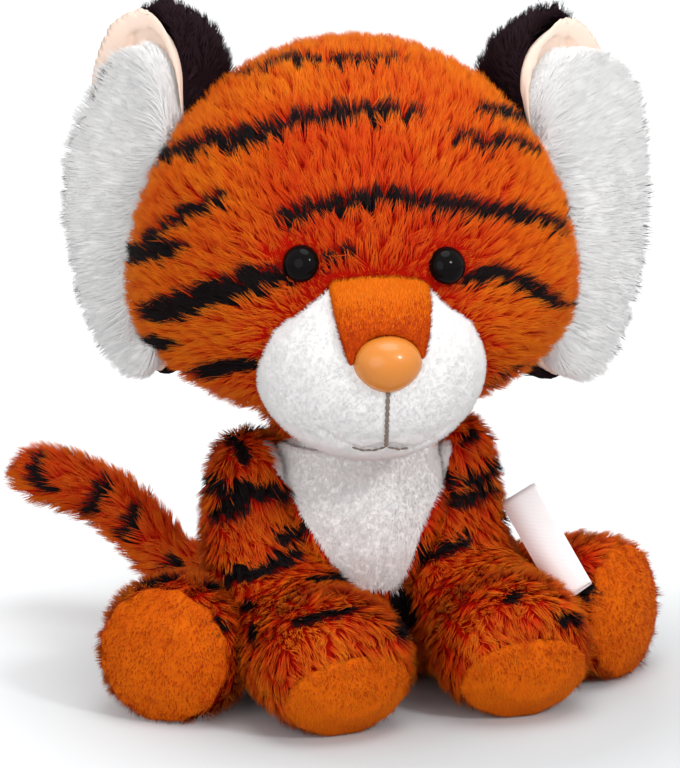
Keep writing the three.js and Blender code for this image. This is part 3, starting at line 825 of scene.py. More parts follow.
def strands(name, points, faces, heights, tones, ups, soft):
    """One mesh of all the strands. Its map holds their tones and heights."""
    count, each = points.shape[:2]
    mesh = bpy.data.meshes.new(name)
    mesh.vertices.add(count * each)
    mesh.vertices.foreach_set("co", points.astype(np.float32).ravel())
    corners = (faces[None] + (np.arange(count) * each)[:, None, None]).reshape(-1)
    mesh.loops.add(len(corners))
    mesh.loops.foreach_set("vertex_index", corners.astype(np.int32))
    mesh.polygons.add(len(corners) // 3)
    mesh.polygons.foreach_set("loop_start", np.arange(0, len(corners), 3, dtype=np.int32))
    mesh.polygons.foreach_set("use_smooth", np.ones(len(corners) // 3, bool))
    palette = mesh.uv_layers.new(name="OFBake")
    across = np.repeat(tones, faces.size)
    along = np.tile(heights[faces.ravel()] * 0.96 + 0.02, count)
    palette.data.foreach_set("uv", np.stack([across, along], 1).astype(np.float32).ravel())
    mesh.update(calc_edges=True)
    own = array_of(mesh.vertices, "normal", 3)
    below = np.repeat(ups, each, 0)
    mesh.normals_split_custom_set_from_vertices(unit(own * (1 - soft) + below * soft))
    return mesh


def patchy(points):
    """Random patches where the orange fur lies golden, at 1, and red, at 0."""
    return 0.5 + 0.9 * ripple(points, 4.5 * MM, 1.3)


def toward_point(target):
    return lambda points: target - points


def near_edge(points, form, reach, least):
    """Shorter fur beside a form: least at its surface, full at reach."""
    size = np.ones(len(points))
    for i, point in enumerate(points):
        near = form.find_nearest(Vector(point), reach)
        if near[0] is not None:
            size[i] = least + (1 - least) * near[3] / reach
    return size


def steady(direction):
    return lambda points: np.tile(np.array(direction, float), (len(points), 1))


def orange(points):
    """Which points lie outside the white of the chest."""
    return ~on_chest(points)


# How short pile stands: evenly, without tufts. White pile is this many times as long, by where it grows

NAP = {"clump": 0.0, "clump_size": 1.5 * MM, "stray": 0.14, "soft": 1.0}
CHEST_PILE, BIB_PILE = 1.8, 1.4


def white_nap(name, base, body, seed, clear_of, density=None, share=CHEST_PILE, gap=0.3 * MM):
    """White pile where the chest is white, combed down."""
    fur = fur_settings()
    coat(name, base, body, "white_plush", plush_materials()["white_fur"], density or fur.density,
         fur.pile * share, fur.pile_width, steady(DOWN), fur.seed + seed, (), clear_of, gap,
         where=on_chest, **NAP)


def orange_nap(name, base, body, density, flow, seed, clear_of, tone):
    """Short orange pile, redder where the tone is high."""
    fur = fur_settings()
    coat(name, base, body, "short_plush", plush_materials()["orange_nap"], density, fur.pile, fur.pile_width,
         steady(flow), fur.seed + seed, (), clear_of, 0.05 * MM, tone=tone, **NAP)


def body_fur(name, base, body, flow, seed, clear_of, gap=0.3 * MM, share=1.0, where=None):
    """Long orange fur with the body's stripes."""
    fur = fur_settings()
    coat(name, base, body, "tiger_plush", plush_materials()["body_fur"], fur.density, fur.body * share,
         fur.width, flow, fur.seed + seed, stripes_on("body"), clear_of, gap, where=where)

made, printed = {}, {}


def fur_settings():
    return bpy.context.scene.plush_tiger_fur


def plush_materials():
    """The finishes that several pieces share, made once."""
    if made:
        return made
    settings = bpy.context.scene.plush_tiger_colours
    c = {name: tuple(getattr(settings, name)) for name in PlushTigerColours.__annotations__}
    white, ear_white, back = c["white"], c["ear_white"], c["ear_back"]
    short, red = c["short_orange"], c["short_red"]
    # grey is white taken a little towards grey. It makes the roots of white strands greyer, which is painted
    # shade between them; it is also the white pile's darker random patches and the bib on the backing. dark
    # is the stripe colour halfway to black. It makes the roots of striped strands darker, which is painted
    # shade there too.
    grey, dark = mixed(0.05, white, (0.4, 0.38, 0.38)), mixed(0.5, c["stripe"], BLACK)
    orange_tones = c["orange_root"], c["orange_tip"], dark, c["stripe"], c["gold"]
    low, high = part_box("nose_bridge")
    made.update({
        "orange_fur": strand_finish("orange_plush", *orange_tones),
        "body_fur": strand_finish("body_plush", *orange_tones),
        "dark_fur": strand_finish("ear_plush", back, back, mixed(0.6, back, BLACK), back),
        "white_fur": strand_finish("white_plush", grey, white, grey, white),
        "ear_fur": strand_finish(
            "white_long_plush", mixed(0.5, ear_white, white), ear_white, white, ear_white),
        # The orange backing takes the fur's root and stripe colours towards black: painted shade under the
        # fur.
        "backing": backing_finish(
            "orange_backing", mixed(0.2, c["orange_root"], BLACK), mixed(0.4, c["stripe"], BLACK), grey),
        "white_pile": pile_finish("white_pile", white, grey, 6 * MM, 0.7 * MM),
        "orange_nap": strand_finish(
            "orange_nap", mixed(0.25, short, red), short, red, mixed(0.12, red, short)),
        # The ear backing is the ear plush's colour taken towards black: painted shade under the fur.
        "ear_backing": backing_finish("ear_backing", mixed(0.3, back, BLACK), back, back),
        "white_backing": backing_finish("white_backing", ear_white, ear_white, ear_white),
        "lining": satin_finish("ear_satin", c["lining"]),
        "nose": moulded_finish("nose_moulding", c["nose"], 0.36, 0.25),
        "eye": moulded_finish("eye_moulding", (0.004, 0.003, 0.003), 0.08, 0.0, 0.06),
        "washer": moulded_finish("washer_moulding", (0.7, 0.7, 0.68), 0.4, 0.0),
        "thread": thread_finish("mouth_thread_finish", c["thread"]),
        "ribbon": ribbon_finish("ribbon_satin", (0.9, 0.89, 0.9)),
        "orange_pile": pile_finish(
            "orange_pile", mixed(0.25, short, red), mixed(0.2, red, short), 5 * MM, 0.5 * MM),
        "bridge_pile": pile_finish(
            "bridge_pile", mixed(0.35, short, red), red, 5 * MM, 0.5 * MM, (high.z, low.z)),
    })
    return made


# The closed forms, as (CAD nodes, voxel in millimetres, rounds of smoothing, swell in millimetres)

FORMS = {
    "head": (["head_skin", "head_stuffing"], 1.3, 8, 0),
    "neck": (["neck_stuffing"], 1.0, 8, 0),
    "body": (["body_skin", "body_stuffing", "pellet_bag"], 1.1, 8, 0),
    "tail": (["tail_skin", "tail_stuffing"], 0.9, 8, 0.1),
    "muzzle": (["muzzle_cover", "muzzle_stuffing"], 0.75, 14, 0.1),
    "nose_bridge": (["nose_bridge"], 0.42, 6, 0.3),
    "chest_bib": (["chest_bib"], 0.5, 6, 0.3),
}
for side in SIDES:
    FORMS["arm_" + side] = (["arm_skin_" + side, "arm_stuffing_" + side], 0.9, 8, 0)
    FORMS["leg_" + side] = (["leg_skin_" + side, "leg_stuffing_" + side], 0.9, 8, 0)
    FORMS["paw_pad_" + side] = (["paw_pad_" + side], 0.55, 6, 0.3)
    FORMS["sole_" + side] = (["sole_" + side], 0.55, 6, 0.3)
    FORMS["ear_back_" + side] = (["ear_back_" + side], 0.7, 4, 0)
    FORMS["ear_lining_" + side] = (["ear_lining_" + side], 0.6, 4, 0.1)
    FORMS["ear_fur_" + side] = (["ear_fur_" + side], 0.8, 8, 0)

shapes = {}


def shape(key):
    """The mesh of a closed form, made once."""
    if key not in shapes:
        nodes, pitch, rounds, swell = FORMS[key]
        bm = stuffed_form(key, nodes, pitch * MM, rounds, swell * MM)
        if key == "muzzle":
            draw_corners(bm)
        if key.startswith("ear_"):
            shape_ear(bm, key)
        mesh = mesh_of(bm, key + "_form")
        shapes[key] = mesh, tree_of(mesh)
    return shapes[key][0]


def ear_axes(side):
    """Where an ear opens to, and its outward direction."""
    across, forward = head_axes()
    across = across * SIDES[side]
    sine, cosine = math.sin(EAR_FACING), math.cos(EAR_FACING)
    return across * sine + forward * cosine, across * cosine - forward * sine


def ear_measures(side):
    """The middle of an ear at the level of its rim, and its half width and half height."""
    opening, outward = ear_axes(side)
    node = "ear_back_" + side
    (near, far), (low, high) = reach(node, outward), reach(node, UP)
    middle = outward * (near + far) / 2 + UP * ((low + high) / 2) + opening * reach(node, opening)[1]
    return middle, (far - near) / 2, (high - low) / 2


def ear_places(points, side):
    """Where points lie in an ear: outwards and up as shares of its half sizes, and in front of its rim."""
    middle, wide, tall = ear_measures(side)
    opening, outward = ear_axes(side)
    offset = points - np.array(middle)
    return offset @ np.array(outward) / wide, offset[:, 2] / tall, offset @ np.array(opening)


def eased(values):
    values = np.clip(values, 0, 1)
    return values * values * (3 - 2 * values)


def outline_at(along, high):
    """How far out an outline lies in the direction of each point, as it is and with its corners rounded."""
    turn = (np.arctan2(high, along) / (2 * np.pi) % 1) * OUTLINE_STEPS
    size = np.hypot(along, high)
    edge = np.zeros(OUTLINE_STEPS)
    np.maximum.at(edge, turn.astype(int) % OUTLINE_STEPS, size)
    spread = np.arange(-9, 10)
    weights = np.exp(-(spread / 4.0) ** 2)
    soft = sum(w * np.roll(edge, k) for w, k in zip(weights, spread)) / weights.sum()
    steps = np.arange(OUTLINE_STEPS + 1)
    return [np.interp(turn - 0.5, steps, np.append(line, line[0]), period=OUTLINE_STEPS)
            for line in (edge, soft)]


def shape_ear(bm, key):
    """Rounds an ear's outline, leans its tip outwards and narrows the opening's upper inner side."""
    side = key.rpartition("_")[2]
    opening, outward = (np.array(axis) for axis in ear_axes(side))
    middle, wide, tall = ear_measures(side)
    points = np.array([vert.co for vert in bm.verts])
    along, high, ahead = ear_places(points, side)
    edge, soft = outline_at(along, high)
    ratio = soft / np.maximum(edge, 0.1)
    new_along, new_high = along * ratio, high * ratio
    upper = eased((new_high + 0.1) / 0.7)
    front = eased(1 + ahead / (6 * MM)) if key.startswith("ear_back") else 1.0
    new_along = np.where(new_along < 0, new_along * (1 - EAR_NARROW[side] * upper * front), new_along)
    new_along = new_along + EAR_LEAN[side] / wide * eased(new_high) * np.clip(new_high, 0, 1)
    if key.startswith("ear_lining"):
        new_high = new_high - 0.03 * np.clip(new_high, 0, 1)
    lip = eased(1 + ahead / (3 * MM)) * eased(np.maximum(new_along, new_high - 0.4) * 4)
    if key.startswith("ear_back"):
        inward = 0.05 * front * eased(new_along * 4) * (new_high > -0.5)
        new_along, new_high = new_along * (1 - inward), new_high * (1 - inward)
    shift = (new_along - along)[:, None] * wide * outward
    shift[:, 2] += (new_high - high) * tall
    if key.startswith("ear_back"):
        shift -= (0.9 * MM * lip)[:, None] * opening
    if key.startswith("ear_fur"):
        start = middle.z + tall - EAR_BARE[side]
        grown = np.clip((start - points[:, 2]) / (14 * MM), 0, 1)
        cover = grown * eased(along + 0.6) * eased(np.hypot(along, high) / np.maximum(edge, 0.1))
        stretch = np.clip(EAR_COVER / np.maximum(edge, 0.1) - 1, 0, 0.4) * cover
        shift += (along * stretch)[:, None] * wide * outward + (1.2 * MM * cover)[:, None] * opening
        shift[:, 2] += high * stretch * tall
    shifted(bm, shift)
    bm.normal_update()


def draw_corners(bm):
    """Pulls the muzzle's cloth up into a point on each side of the bridge."""
    toward = photo_axis()[3]
    for corner in cast_photo([tree("head")], [(1, MUZZLE_CORNERS)])[0][1][::6]:
        target = corner + toward * 0.9 * MM
        for vert in bm.verts:
            gap = (vert.co - target).length
            if gap < 12 * MM:
                vert.co = vert.co.lerp(target, 0.85 * math.exp(-(gap / (4.2 * MM)) ** 2))


def tree(key):
    shape(key)
    return shapes[key][1]


def form_piece(key, name, material, body):
    """A piece made from a closed form, standing for that form's CAD nodes."""
    bm = bmesh.new()
    bm.from_mesh(shape(key))
    return keep_piece(bm, name, material, body, FORMS[key][0])


def furred(key, length):
    """A form with fur of this length on it, as rays meet it."""
    return tree_of(shape(key), USUAL_LENGTH * length * bend(CREST_SHARE)[0])


def limbs():
    return [f"{limb}_{side}" for limb in ("arm", "leg") for side in SIDES]


def trees(*keys):
    return [tree(key) for key in keys]


def stripes_on(kind):
    """The printed stripes of the head or of the rest, laid on the fur of the forms that they cross."""
    if kind not in printed:
        fur, low = fur_settings(), kind == "body"
        length, drawn = (fur.body, BODY_STRIPES) if low else (fur.head, HEAD_STRIPES)
        grown = [furred(key, length) for key in (["body", "neck", *limbs()] if low else ["head"])]
        hidden = [s for s in HIDDEN_STRIPES if (s[2][0][1] < 50) == low]
        printed[kind] = cast_photo(grown, drawn) + cast_hidden(grown, hidden)
        if low:
            printed[kind] += cast_photo([furred("tail", fur.body)], TAIL_STRIPES)
    return printed[kind]


def head_axes():
    """The head's own sideways and forward directions, from the joint that nods it."""
    across = Vector(next(j for j in frame["joints"] if j["name"] == "head_nod")["axis"]).normalized()
    return across, across.cross(UP).normalized()


def middle_of(node):
    low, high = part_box(node)
    return (low + high) / 2


def reach(node, heading):
    """How far a CAD node reaches along a direction, from its lowest to its highest place."""
    places = [v.co.dot(heading) for v in frame["nodes"][node].data.vertices]
    return min(places), max(places)


# Operators


class PLUSH_TIGER_OT_head(bpy.types.Operator):
    """Head with its long coat"""

    bl_idname = "plush_tiger.head"
    bl_label = "Head"

    def execute(self, context):
        fur, looks = fur_settings(), plush_materials()
        head = form_piece("head", "head_plush", looks["backing"], "head")
        lines = stripes_on("head")
        centre = np.array(middle_of("muzzle_cover"))
        eyes = [np.array(middle_of("eye_" + side)) for side in SIDES]
        brow = sum(eyes) / 2 + np.array((0, 0, 10 * MM))

        def flow(points):
            away = unit(points - centre)
            back = np.clip((points[:, 1] - 5 * MM) / (30 * MM), 0, 1)[:, None]
            return away * (1 - 0.7 * back) + back * np.array([0, 0.15, -1.0])

        def fade(points):
            size = np.ones(len(points))
            for eye in eyes:
                size *= np.clip((np.linalg.norm(points - eye, axis=1) - 2.6 * MM) / (5 * MM), 0.05, 1)
            size *= (near_edge(points, tree("muzzle"), 5 * MM, 0.3)
                     * near_edge(points, tree("nose_bridge"), 3 * MM, 0.2))
            for ear in [kind + side for kind in ("ear_back_", "ear_fur_") for side in SIDES]:
                size = np.minimum(size, near_edge(points, tree(ear), 3.5 * MM, 0.3))
            return size

        # Golden share of the head's fur: broad random patches, plus painted rim light, which turns the fur
        # golden from 14 mm out from the brow towards the head's outline.
        def warm(points):
            broad = 0.5 * ripple(points, 9 * MM, 0.7) + 0.3 * (patchy(points) - 0.5)
            distance = np.linalg.norm((points - brow) * (1, 1, 1.15), axis=1)
            return 0.2 + broad + 0.7 * eased((distance - 14 * MM) / (26 * MM))

        print_stripes(head, lines, flow, fur.head)
        coat("head_coat", head, "head", "tiger_plush", looks["orange_fur"], fur.density, fur.head, fur.width,
             flow, fur.seed, lines, trees("muzzle", "nose_bridge", "neck"), fade=fade, warm=warm)
        return {"FINISHED"}


class PLUSH_TIGER_OT_torso(bpy.types.Operator):
    """Body, neck and bib"""

    bl_idname = "plush_tiger.torso"
    bl_label = "Torso"

    def execute(self, context):
        backing, lines, fur = plush_materials()["backing"], stripes_on("body"), fur_settings()
        down = steady(DOWN)
        body = form_piece("body", "body_plush", backing, "torso")
        print_stripes(body, lines, down, fur.body)
        around = trees(*limbs(), "chest_bib", "neck")
        body_fur("body_coat", body, "torso", down, 1, around, where=orange)
        white_nap("body_white", body, "torso", 1, around)
        neck = form_piece("neck", "neck_plush", backing, "neck")
        print_stripes(neck, lines, down, fur.body)
        around = trees("body", "chest_bib", "head", *limbs())
        body_fur("neck_coat", neck, "neck", down, 2, around, share=0.8, where=orange)
        white_nap("neck_white", neck, "neck", 2, around)
        bib = form_piece("chest_bib", "bib_pile", backing, "torso")
        print_stripes(bib, lines, down, fur.body)
        around = trees("body", *limbs())
        white_nap("bib_nap", bib, "torso", 3, around, 9, BIB_PILE, -0.2 * MM)
        body_fur("bib_coat", bib, "torso", down, 3, around, -0.2 * MM, 0.8, orange)
        return {"FINISHED"}


class PLUSH_TIGER_OT_face(bpy.types.Operator):
    """Muzzle, bridge of the nose, nose, eyes and mouth"""

    bl_idname = "plush_tiger.face"
    bl_label = "Face"

    def execute(self, context):
        fur, looks = fur_settings(), plush_materials()
        across, forward = head_axes()
        smile = cast_photo([tree("muzzle")], [(5, SMILE)])[0][1]
        bm = bmesh.new()
        bm.from_mesh(shape("muzzle"))
        path = np.array(smile)
        for vert in bm.verts:
            gap = np.linalg.norm(path - np.array(vert.co), axis=1).min()
            if gap < SEAM_REACH:
                vert.co -= vert.normal * SEAM_DEPTH * math.exp(-(gap / SEAM_WIDTH) ** 2)
        muzzle = keep_piece(
            bm, "muzzle_pile", looks["white_pile"], "head", FORMS["muzzle"][0])

        def flow(points):
            return points - np.array(middle_of("nose"))

        coat("muzzle_nap", muzzle, "head", "white_plush", looks["white_fur"], 8, fur.pile, fur.pile_width,
             flow, fur.seed + 4, (), trees("head", "nose_bridge"), gap=-0.4 * MM, **NAP)
        bridge = form_piece("nose_bridge", "bridge_pile", looks["bridge_pile"], "head")
        low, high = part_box("nose_bridge")
        orange_nap("bridge_nap", bridge, "head", 14, UP, 5, trees("muzzle", "head"),
                   lambda points: np.clip(1.9 - 2.3 * (points[:, 2] - low.z) / (high.z - low.z), 0, 1))
        self.mouth(looks, forward)
        self.nose(looks, across, forward)
        for side in SIDES:
            self.eye(looks, side)
        return {"FINISHED"}

    def mouth(self, looks, forward):
        bm = bmesh.new()
        for width, points in MOUTH_STITCHES:
            line = cast_photo([tree("muzzle")], [(width, points)])[0][1]
            self.stitches(bm, [p + forward * STITCH_LIFT * MM for p in line], width * PIXEL / 2)
        keep_piece(bm, "mouth_stitches", looks["thread"], "head", ["mouth_thread"])

    def stitches(self, bm, line, radius):
        """Short plump stitches, end to end along a line."""
        steps = [0.0]
        for a, b in zip(line, line[1:]):
            steps.append(steps[-1] + (b - a).length)
        count = max(1, round(steps[-1] / STITCH_PITCH))
        for number in range(count):
            middle = steps[-1] * (number + 0.5) / count
            place = next(i for i in range(len(steps) - 1) if steps[i + 1] >= middle)
            share = (middle - steps[place]) / max(steps[place + 1] - steps[place], 1e-9)
            start = line[place].lerp(line[place + 1], share)
            heading = (line[place + 1] - line[place]).normalized()
            ball = bmesh.ops.create_uvsphere(bm, u_segments=10, v_segments=6, radius=1)["verts"]
            bmesh.ops.scale(bm, vec=(radius, radius, steps[-1] / count * STITCH_FILL), verts=ball)
            set_down(bm, ball, start, heading.to_track_quat("Z", "Y").to_matrix())

    def nose(self, looks, across, forward):
        (left, right), (foot, top) = reach("nose", across), reach("nose", UP)
        half = Vector(((right - left) / 2, NOSE_DEPTH, (top - foot) / 2))
        centre = across * (left + right) / 2 + UP * (foot + top) / 2
        centre += forward * (reach("nose", forward)[1] - half.y)
        bm = bmesh.new()
        bmesh.ops.create_uvsphere(bm, u_segments=48, v_segments=32, radius=1)
        for vert in bm.verts:
            narrow = 1 - 0.16 * max(0.0, -vert.co.z) ** 1.5
            vert.co = Vector((vert.co.x * narrow, vert.co.y, vert.co.z * (1 - 0.06 * max(0.0, vert.co.z))))
        bmesh.ops.scale(bm, vec=half, verts=bm.verts)
        set_down(bm, bm.verts, centre, Matrix((across, -forward, UP)).transposed())
        keep_piece(bm, "nose_button", looks["nose"], "head", ["nose"])

    def eye(self, looks, side):
        node = "eye_" + side
        outward = (middle_of(node) - middle_of("eye_washer_" + side)).normalized()
        level = outward.cross(UP).normalized()
        upright = level.cross(outward)
        (left, right), (foot, top) = reach(node, level), reach(node, upright)
        radius = (right - left) / 2
        centre = level * (left + right) / 2 + upright * (foot + top) / 2
        centre += outward * (reach(node, outward)[1] - EYE_DEPTH)
        bm = bmesh.new()
        bmesh.ops.create_uvsphere(bm, u_segments=40, v_segments=24, radius=1)
        bmesh.ops.scale(bm, vec=(radius, radius, EYE_DEPTH), verts=bm.verts)
        set_down(bm, bm.verts, centre, outward.to_track_quat("Z", "Y").to_matrix())
        keep_piece(bm, "eye_dome_" + side, looks["eye"], "head", [node])


class PLUSH_TIGER_OT_ears(bpy.types.Operator):
    """Ears: dark backs, satin linings and long white fur"""

    bl_idname = "plush_tiger.ears"
    bl_label = "Ears"

    def execute(self, context):
        for side in SIDES:
            self.back(side)
            self.satin(side)
            self.tuft(side)
        return {"FINISHED"}

    def back(self, side):
        """The dark back. Its plush is combed up, and away from the rim on the outer side."""
        fur, looks = fur_settings(), plush_materials()
        body, cloth = "ear_" + side, looks["ear_backing"]
        back = form_piece("ear_back_" + side, "ear_plush_" + side, cloth, body)
        middle, _, tall = ear_measures(side)
        opening = np.array(ear_axes(side)[0])
        foot = np.array(middle) - np.array((0, 0, 0.8 * tall))

        def outer(points):
            along, high, _ = ear_places(points, side)
            return np.clip(np.maximum(along * 3, -5 * (high + 0.5)), 0, 1)

        def flow(points):
            return unit(points - foot) - 1.6 * outer(points)[:, None] * opening

        coat("ear_coat_" + side, back, body, "dark_plush", looks["dark_fur"], 5.5, fur.back, fur.width, flow,
             fur.seed + 6, (), trees("ear_lining_" + side, "ear_fur_" + side, "head"), gap=0.7 * MM,
             fade=lambda points: 1 - 0.45 * outer(points),
             where=lambda points: ear_places(points, side)[2] < (0.8 - 3.0 * outer(points)) * MM)

    def satin(self, side):
        """The satin lining: shallow near the tip, with one crease, and turned over the rim."""
        middle, wide, tall = ear_measures(side)
        opening, outward = (np.array(axis) for axis in ear_axes(side))
        bm = bmesh.new()
        bm.from_mesh(shape("ear_lining_" + side))
        points = np.array([vert.co for vert in bm.verts])
        normals = np.array([vert.normal for vert in bm.verts])
        along, high, ahead = ear_places(points, side)
        shallow = np.clip((points[:, 2] - middle.z - tall + 34 * MM) / (20 * MM), 0, 1)
        crease = (along * wide - EAR_LEAN[side] + 0.22 * tall * (high - 1)) / CREASE_WIDTH
        fold = CREASE_DEPTH * np.exp(-crease**2) * eased((high - 0.3) * 4) * eased(-ahead / (2 * MM))
        forward = np.maximum(-ahead, 0) * 0.8 * shallow - fold
        radial = unit(along[:, None] / wide * outward + high[:, None] / tall * np.array([[0, 0, 1]]))
        beside = eased(1 - np.maximum(-ahead, 0) / (2.5 * MM))
        turned = np.clip(0.5 + 0.75 * (normals * radial).sum(1), 0, 1) * beside * eased((along + 0.3) / 0.4)
        shifted(bm, (forward + 0.3 * MM * beside)[:, None] * opening + (RIM_TURN * turned)[:, None] * radial)
        keep_piece(bm, "ear_satin_" + side, plush_materials()["lining"], "ear_" + side,
                   ["ear_lining_" + side])

    def tuft(self, side):
        """White fur that fills the hollow, fans outwards and hides the rim below the bare satin."""
        fur, looks = fur_settings(), plush_materials()
        body, cloth = "ear_" + side, looks["white_backing"]
        tuft = form_piece("ear_fur_" + side, "ear_tuft_" + side, cloth, body)
        low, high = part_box("ear_fur_" + side)
        opening, outward = (np.array(axis) for axis in ear_axes(side))

        def flow(points):
            fan = (points[:, 2:3] - (low.z + high.z) / 2) / (34 * MM)
            return outward + np.array([0, 0, 0.75]) * fan

        def fade(points):
            along, up, _ = ear_places(points, side)
            tip = np.clip(0.45 + (high.z - points[:, 2]) / (26 * MM), 0.45, 1)
            inner = np.where(along < 0.1, near_edge(points, tree("ear_lining_" + side), 2.5 * MM, 0.3), 1)
            return tip * inner * (1 - EAR_TRIM[side] * eased((np.hypot(along, up) - 0.7) / 0.35))

        coat("ear_white_" + side, tuft, body, "white_fur", looks["ear_fur"], 8, fur.ear, fur.ear_width, flow,
             fur.seed + 7, (), trees("head"), gap=-0.6 * MM, lift=0.16, lean=1.1, clump=0.1,
             clump_size=3.2 * MM, stray=0.1, soft=0.9, fade=fade, facing=opening)


class PLUSH_TIGER_OT_limbs(bpy.types.Operator):
    """Arms with their pads, and legs with their soles"""

    bl_idname = "plush_tiger.limbs"
    bl_label = "Limbs"

    def execute(self, context):
        for side, other in zip(SIDES, reversed(SIDES)):
            arm, leg = f"arm_{side}", f"leg_{side}"
            self.limb(arm, "arm", "paw_pad", "pad", side, (leg, f"arm_{other}", "head"), 1.9, -0.75)
            self.limb(leg, "leg", "sole", "sole", side, (arm,), 0.5, 0.4)
        return {"FINISHED"}

    def limb(self, key, limb, panel, name, side, others, rise, least):
        """One limb, furred towards its patch, whose pile reddens from its lower edge up."""
        looks = plush_materials()
        patch = f"{panel}_{side}"
        piece = form_piece(key, f"{limb}_plush_{side}", looks["backing"], key)
        low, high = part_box(patch)
        flow = toward_point(np.array((low + high) / 2) + np.array((0, -6 * MM, -2 * MM)))
        print_stripes(piece, stripes_on("body"), flow, fur_settings().body)
        around = trees("body", "neck", "chest_bib", patch, *others)
        body_fur(f"{limb}_coat_{side}", piece, key, flow, 8, around, 0.2 * MM, where=orange)
        if limb == "arm":
            white_nap(f"arm_white_{side}", piece, key, 8, around)
        cloth = form_piece(patch, f"{name}_pile_{side}", looks["orange_pile"], key)
        orange_nap(f"{name}_nap_{side}", cloth, key, 6, DOWN, 9, trees(key),
                   lambda points: np.clip(least + rise * (points[:, 2] - low.z) / (high.z - low.z), 0, 0.85))


class PLUSH_TIGER_OT_tail(bpy.types.Operator):
    """Tail"""

    bl_idname = "plush_tiger.tail"
    bl_label = "Tail"

    def execute(self, context):
        tail = form_piece("tail", "tail_plush", plush_materials()["backing"], "tail")

        def flow(points):
            low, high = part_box("tail_skin")
            tip = np.array((low.x - 10 * MM, high.y, high.z - 2 * MM))
            return unit(tip - points)

        print_stripes(tail, stripes_on("body"), flow, fur_settings().body)
        body_fur("tail_coat", tail, "tail", flow, 10, trees("body", "leg_right", "leg_left"))
        return {"FINISHED"}


class PLUSH_TIGER_OT_label(bpy.types.Operator):
    """Bare folded ribbon in the seam of the left arm"""

    bl_idname = "plush_tiger.label"
    bl_label = "Label"

    def execute(self, context):
        looks = plush_materials()
        joint = next(j for j in frame["joints"] if j["name"] == "label_flap")
        pivot, seam = Vector(joint["pos_m"]), Vector(joint["axis"]).normalized()
        centre = middle_of("label")
        outward = centre - pivot
        outward = (outward - seam * outward.dot(seam)).normalized()
        thick = seam.cross(outward)
        (front, rear), (_, free) = reach("label", seam), reach("label", outward)
        length, out, loop = rear - front, free - pivot.dot(outward), RIBBON_LOOP
        bm = bmesh.new()
        profile = [(-RIBBON_SUNK, -loop), (out * 0.4, -loop * 1.15), (out - loop, -loop)]
        for turn in np.radians((-60, -30, 0, 30, 60)):
            profile.append((out - loop + loop * math.cos(turn), loop * math.sin(turn)))
        profile += [(out - loop, loop), (out * 0.4, loop * 1.15), (-RIBBON_SUNK, loop)]
        verts = [bm.verts.new((x, y, -length / 2)) for x, y in profile]
        edges = [bm.edges.new(pair) for pair in zip(verts, verts[1:])]
        for _ in range(RIBBON_STEPS):
            grown = bmesh.ops.extrude_edge_only(bm, edges=edges)["geom"]
            edges = [g for g in grown if isinstance(g, bmesh.types.BMEdge)]
            moved = [g for g in grown if isinstance(g, bmesh.types.BMVert)]
            bmesh.ops.translate(bm, vec=(0, 0, length / RIBBON_STEPS), verts=moved)
        for vert in bm.verts:
            x, y, z = vert.co
            wave = 0.35 * MM * math.sin(z / length * 5) * max(0.0, x / out)
            vert.co.y += wave + 0.25 * MM * (x / out) ** 2
        bmesh.ops.recalc_face_normals(bm, faces=bm.faces)
        bmesh.ops.solidify(bm, geom=bm.faces[:], thickness=RIBBON_THICKNESS)
        bmesh.ops.recalc_face_normals(bm, faces=bm.faces)
        set_down(bm, bm.verts, pivot, Matrix((outward, thick, seam)).transposed())
        ribbon = keep_piece(bm, "label_ribbon", looks["ribbon"], "label", ["label"])
        return {"FINISHED"}


class PLUSH_TIGER_OT_fittings(bpy.types.Operator):
    """Washers behind the eyes and the nose"""

    bl_idname = "plush_tiger.fittings"
    bl_label = "Fittings"

    def execute(self, context):
        looks = plush_materials()
        for node in ("nose_washer", "eye_washer_left", "eye_washer_right"):
            materials = frame["nodes"][node].data.materials
            materials.clear()
            materials.append(looks["washer"])
        return {"FINISHED"}


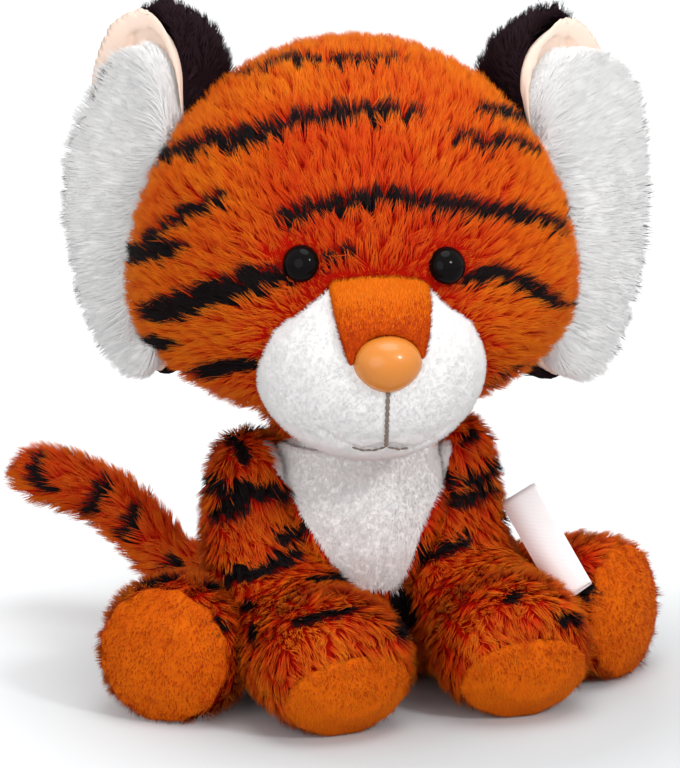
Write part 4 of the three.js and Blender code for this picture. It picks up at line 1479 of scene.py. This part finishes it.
class PLUSH_TIGER_OT_stage(bpy.types.Operator):
    """Camera, lamps and floor"""

    bl_idname = "plush_tiger.stage"
    bl_label = "Stage"

    def execute(self, context):
        scene = context.scene
        self.camera(scene)
        self.floor()
        self.room(scene)
        for name, place, size, power in LAMPS:
            light = bpy.data.lights.new(name, "AREA")
            light.shape, light.size, light.energy = "DISK", size, power
            lamp = linked(name, light)
            lamp.location = place
            lamp.rotation_euler = (LAMP_AIM - Vector(place)).to_track_quat("-Z", "Y").to_euler()
        scene.view_settings.view_transform = "Standard"
        return {"FINISHED"}

    def camera(self, scene):
        """Looks as the photograph does."""
        middle, right, up, toward = photo_axis()
        lens = bpy.data.cameras.new("photo_camera")
        lens.sensor_fit = "VERTICAL"
        lens.sensor_height = 24
        lens.lens = lens.sensor_height * VIEW_DISTANCE / (FRAME_HEIGHT * PIXEL)
        lens.clip_start, lens.clip_end = 0.05, 20
        scene.camera = linked("photo_camera", lens)
        turn = Matrix((right, up, toward)).transposed().to_4x4()
        scene.camera.matrix_world = Matrix.Translation(middle + toward * VIEW_DISTANCE) @ turn

    def floor(self):
        """Bluish grey ground: a painted shadow round the tiger, with the lamps' shadows on it, fading into
        white where it glows for the camera further away.
        """
        bm = bmesh.new()
        bmesh.ops.create_grid(bm, x_segments=8, y_segments=8, size=6)
        mesh = mesh_of(bm, "floor")
        finish = Finish("pale_floor", 0.7, Specular_IOR_Level=0.05)
        finish.shader.inputs["Base Color"].default_value = FLOOR_COLOUR
        path = finish.node("ShaderNodeLightPath", outlet="Is Camera Ray")
        inlets = {0: finish.place(), 1: GLOW_CENTRE}
        away = finish.node("ShaderNodeVectorMath", {"operation": "DISTANCE"}, inlets, "Value")
        # Painted shadow: the glow only starts beyond GLOW_START from GLOW_CENTRE, so the floor stays grey
        # round the tiger.
        far = ((away - GLOW_START) * (1 / GLOW_WIDTH)).clamped()
        inlets = {"Color": (1, 1, 1, 1), "Strength": path * far * GLOW_STRENGTH}
        glow = finish.node("ShaderNodeEmission", None, inlets)
        both = finish.node("ShaderNodeAddShader", None, {0: Wire(finish, finish.shader.outputs[0]), 1: glow})
        finish.tree.links.new(both.socket, finish.tree.nodes["Material Output"].inputs["Surface"])
        mesh.materials.append(finish.material)
        linked("floor", mesh)

    def room(self, scene):
        """White all round: full for the camera and for shiny things, softer as light."""
        world = bpy.data.worlds.new("studio")
        scene.world = world
        world.use_nodes = True
        nodes, links = world.node_tree.nodes, world.node_tree.links
        ground = nodes["Background"]
        rays = nodes.new("ShaderNodeLightPath")
        shown = rays.outputs["Is Camera Ray"]
        for kind in ("Is Glossy Ray", "Is Transmission Ray"):
            both = nodes.new("ShaderNodeMath")
            both.operation = "MAXIMUM"
            links.new(shown, both.inputs[0])
            links.new(rays.outputs[kind], both.inputs[1])
            shown = both.outputs[0]
        level = nodes.new("ShaderNodeMapRange")
        level.inputs["To Min"].default_value = ROOM_STRENGTH
        level.inputs["To Max"].default_value = 1.0
        links.new(shown, level.inputs["Value"])
        links.new(level.outputs[0], ground.inputs["Strength"])
        ground.inputs["Color"].default_value = (1, 1, 1, 1)


PIECES = ("torso", "head", "face", "ears", "limbs", "tail", "label", "fittings", "stage")


class PLUSH_TIGER_PT_pieces(bpy.types.Panel):
    """The tiger's settings and pieces"""

    bl_idname = "PLUSH_TIGER_PT_pieces"
    bl_label = "Plush tiger"
    bl_space_type = "VIEW_3D"
    bl_region_type = "UI"
    bl_category = "Plush tiger"

    def draw(self, context):
        scene = context.scene
        for settings in (scene.plush_tiger_fur, scene.plush_tiger_colours):
            box = self.layout.box()
            for name in settings.__annotations__:
                box.prop(settings, name)
        for piece in PIECES:
            self.layout.operator("plush_tiger." + piece)


CLASSES = (
    PlushTigerFur,
    PlushTigerColours,
    PLUSH_TIGER_PT_pieces,
    PLUSH_TIGER_OT_torso,
    PLUSH_TIGER_OT_head,
    PLUSH_TIGER_OT_face,
    PLUSH_TIGER_OT_ears,
    PLUSH_TIGER_OT_limbs,
    PLUSH_TIGER_OT_tail,
    PLUSH_TIGER_OT_label,
    PLUSH_TIGER_OT_fittings,
    PLUSH_TIGER_OT_stage,
)


def register():
    for cls in CLASSES:
        bpy.utils.register_class(cls)
    bpy.types.Scene.plush_tiger_fur = PointerProperty(type=PlushTigerFur)
    bpy.types.Scene.plush_tiger_colours = PointerProperty(type=PlushTigerColours)


def unregister():
    del bpy.types.Scene.plush_tiger_colours
    del bpy.types.Scene.plush_tiger_fur
    for cls in reversed(CLASSES):
        bpy.utils.unregister_class(cls)


def main():
    register()
    for piece in PIECES:
        getattr(bpy.ops.plush_tiger, piece)()


if __name__ == "__main__":
    main()
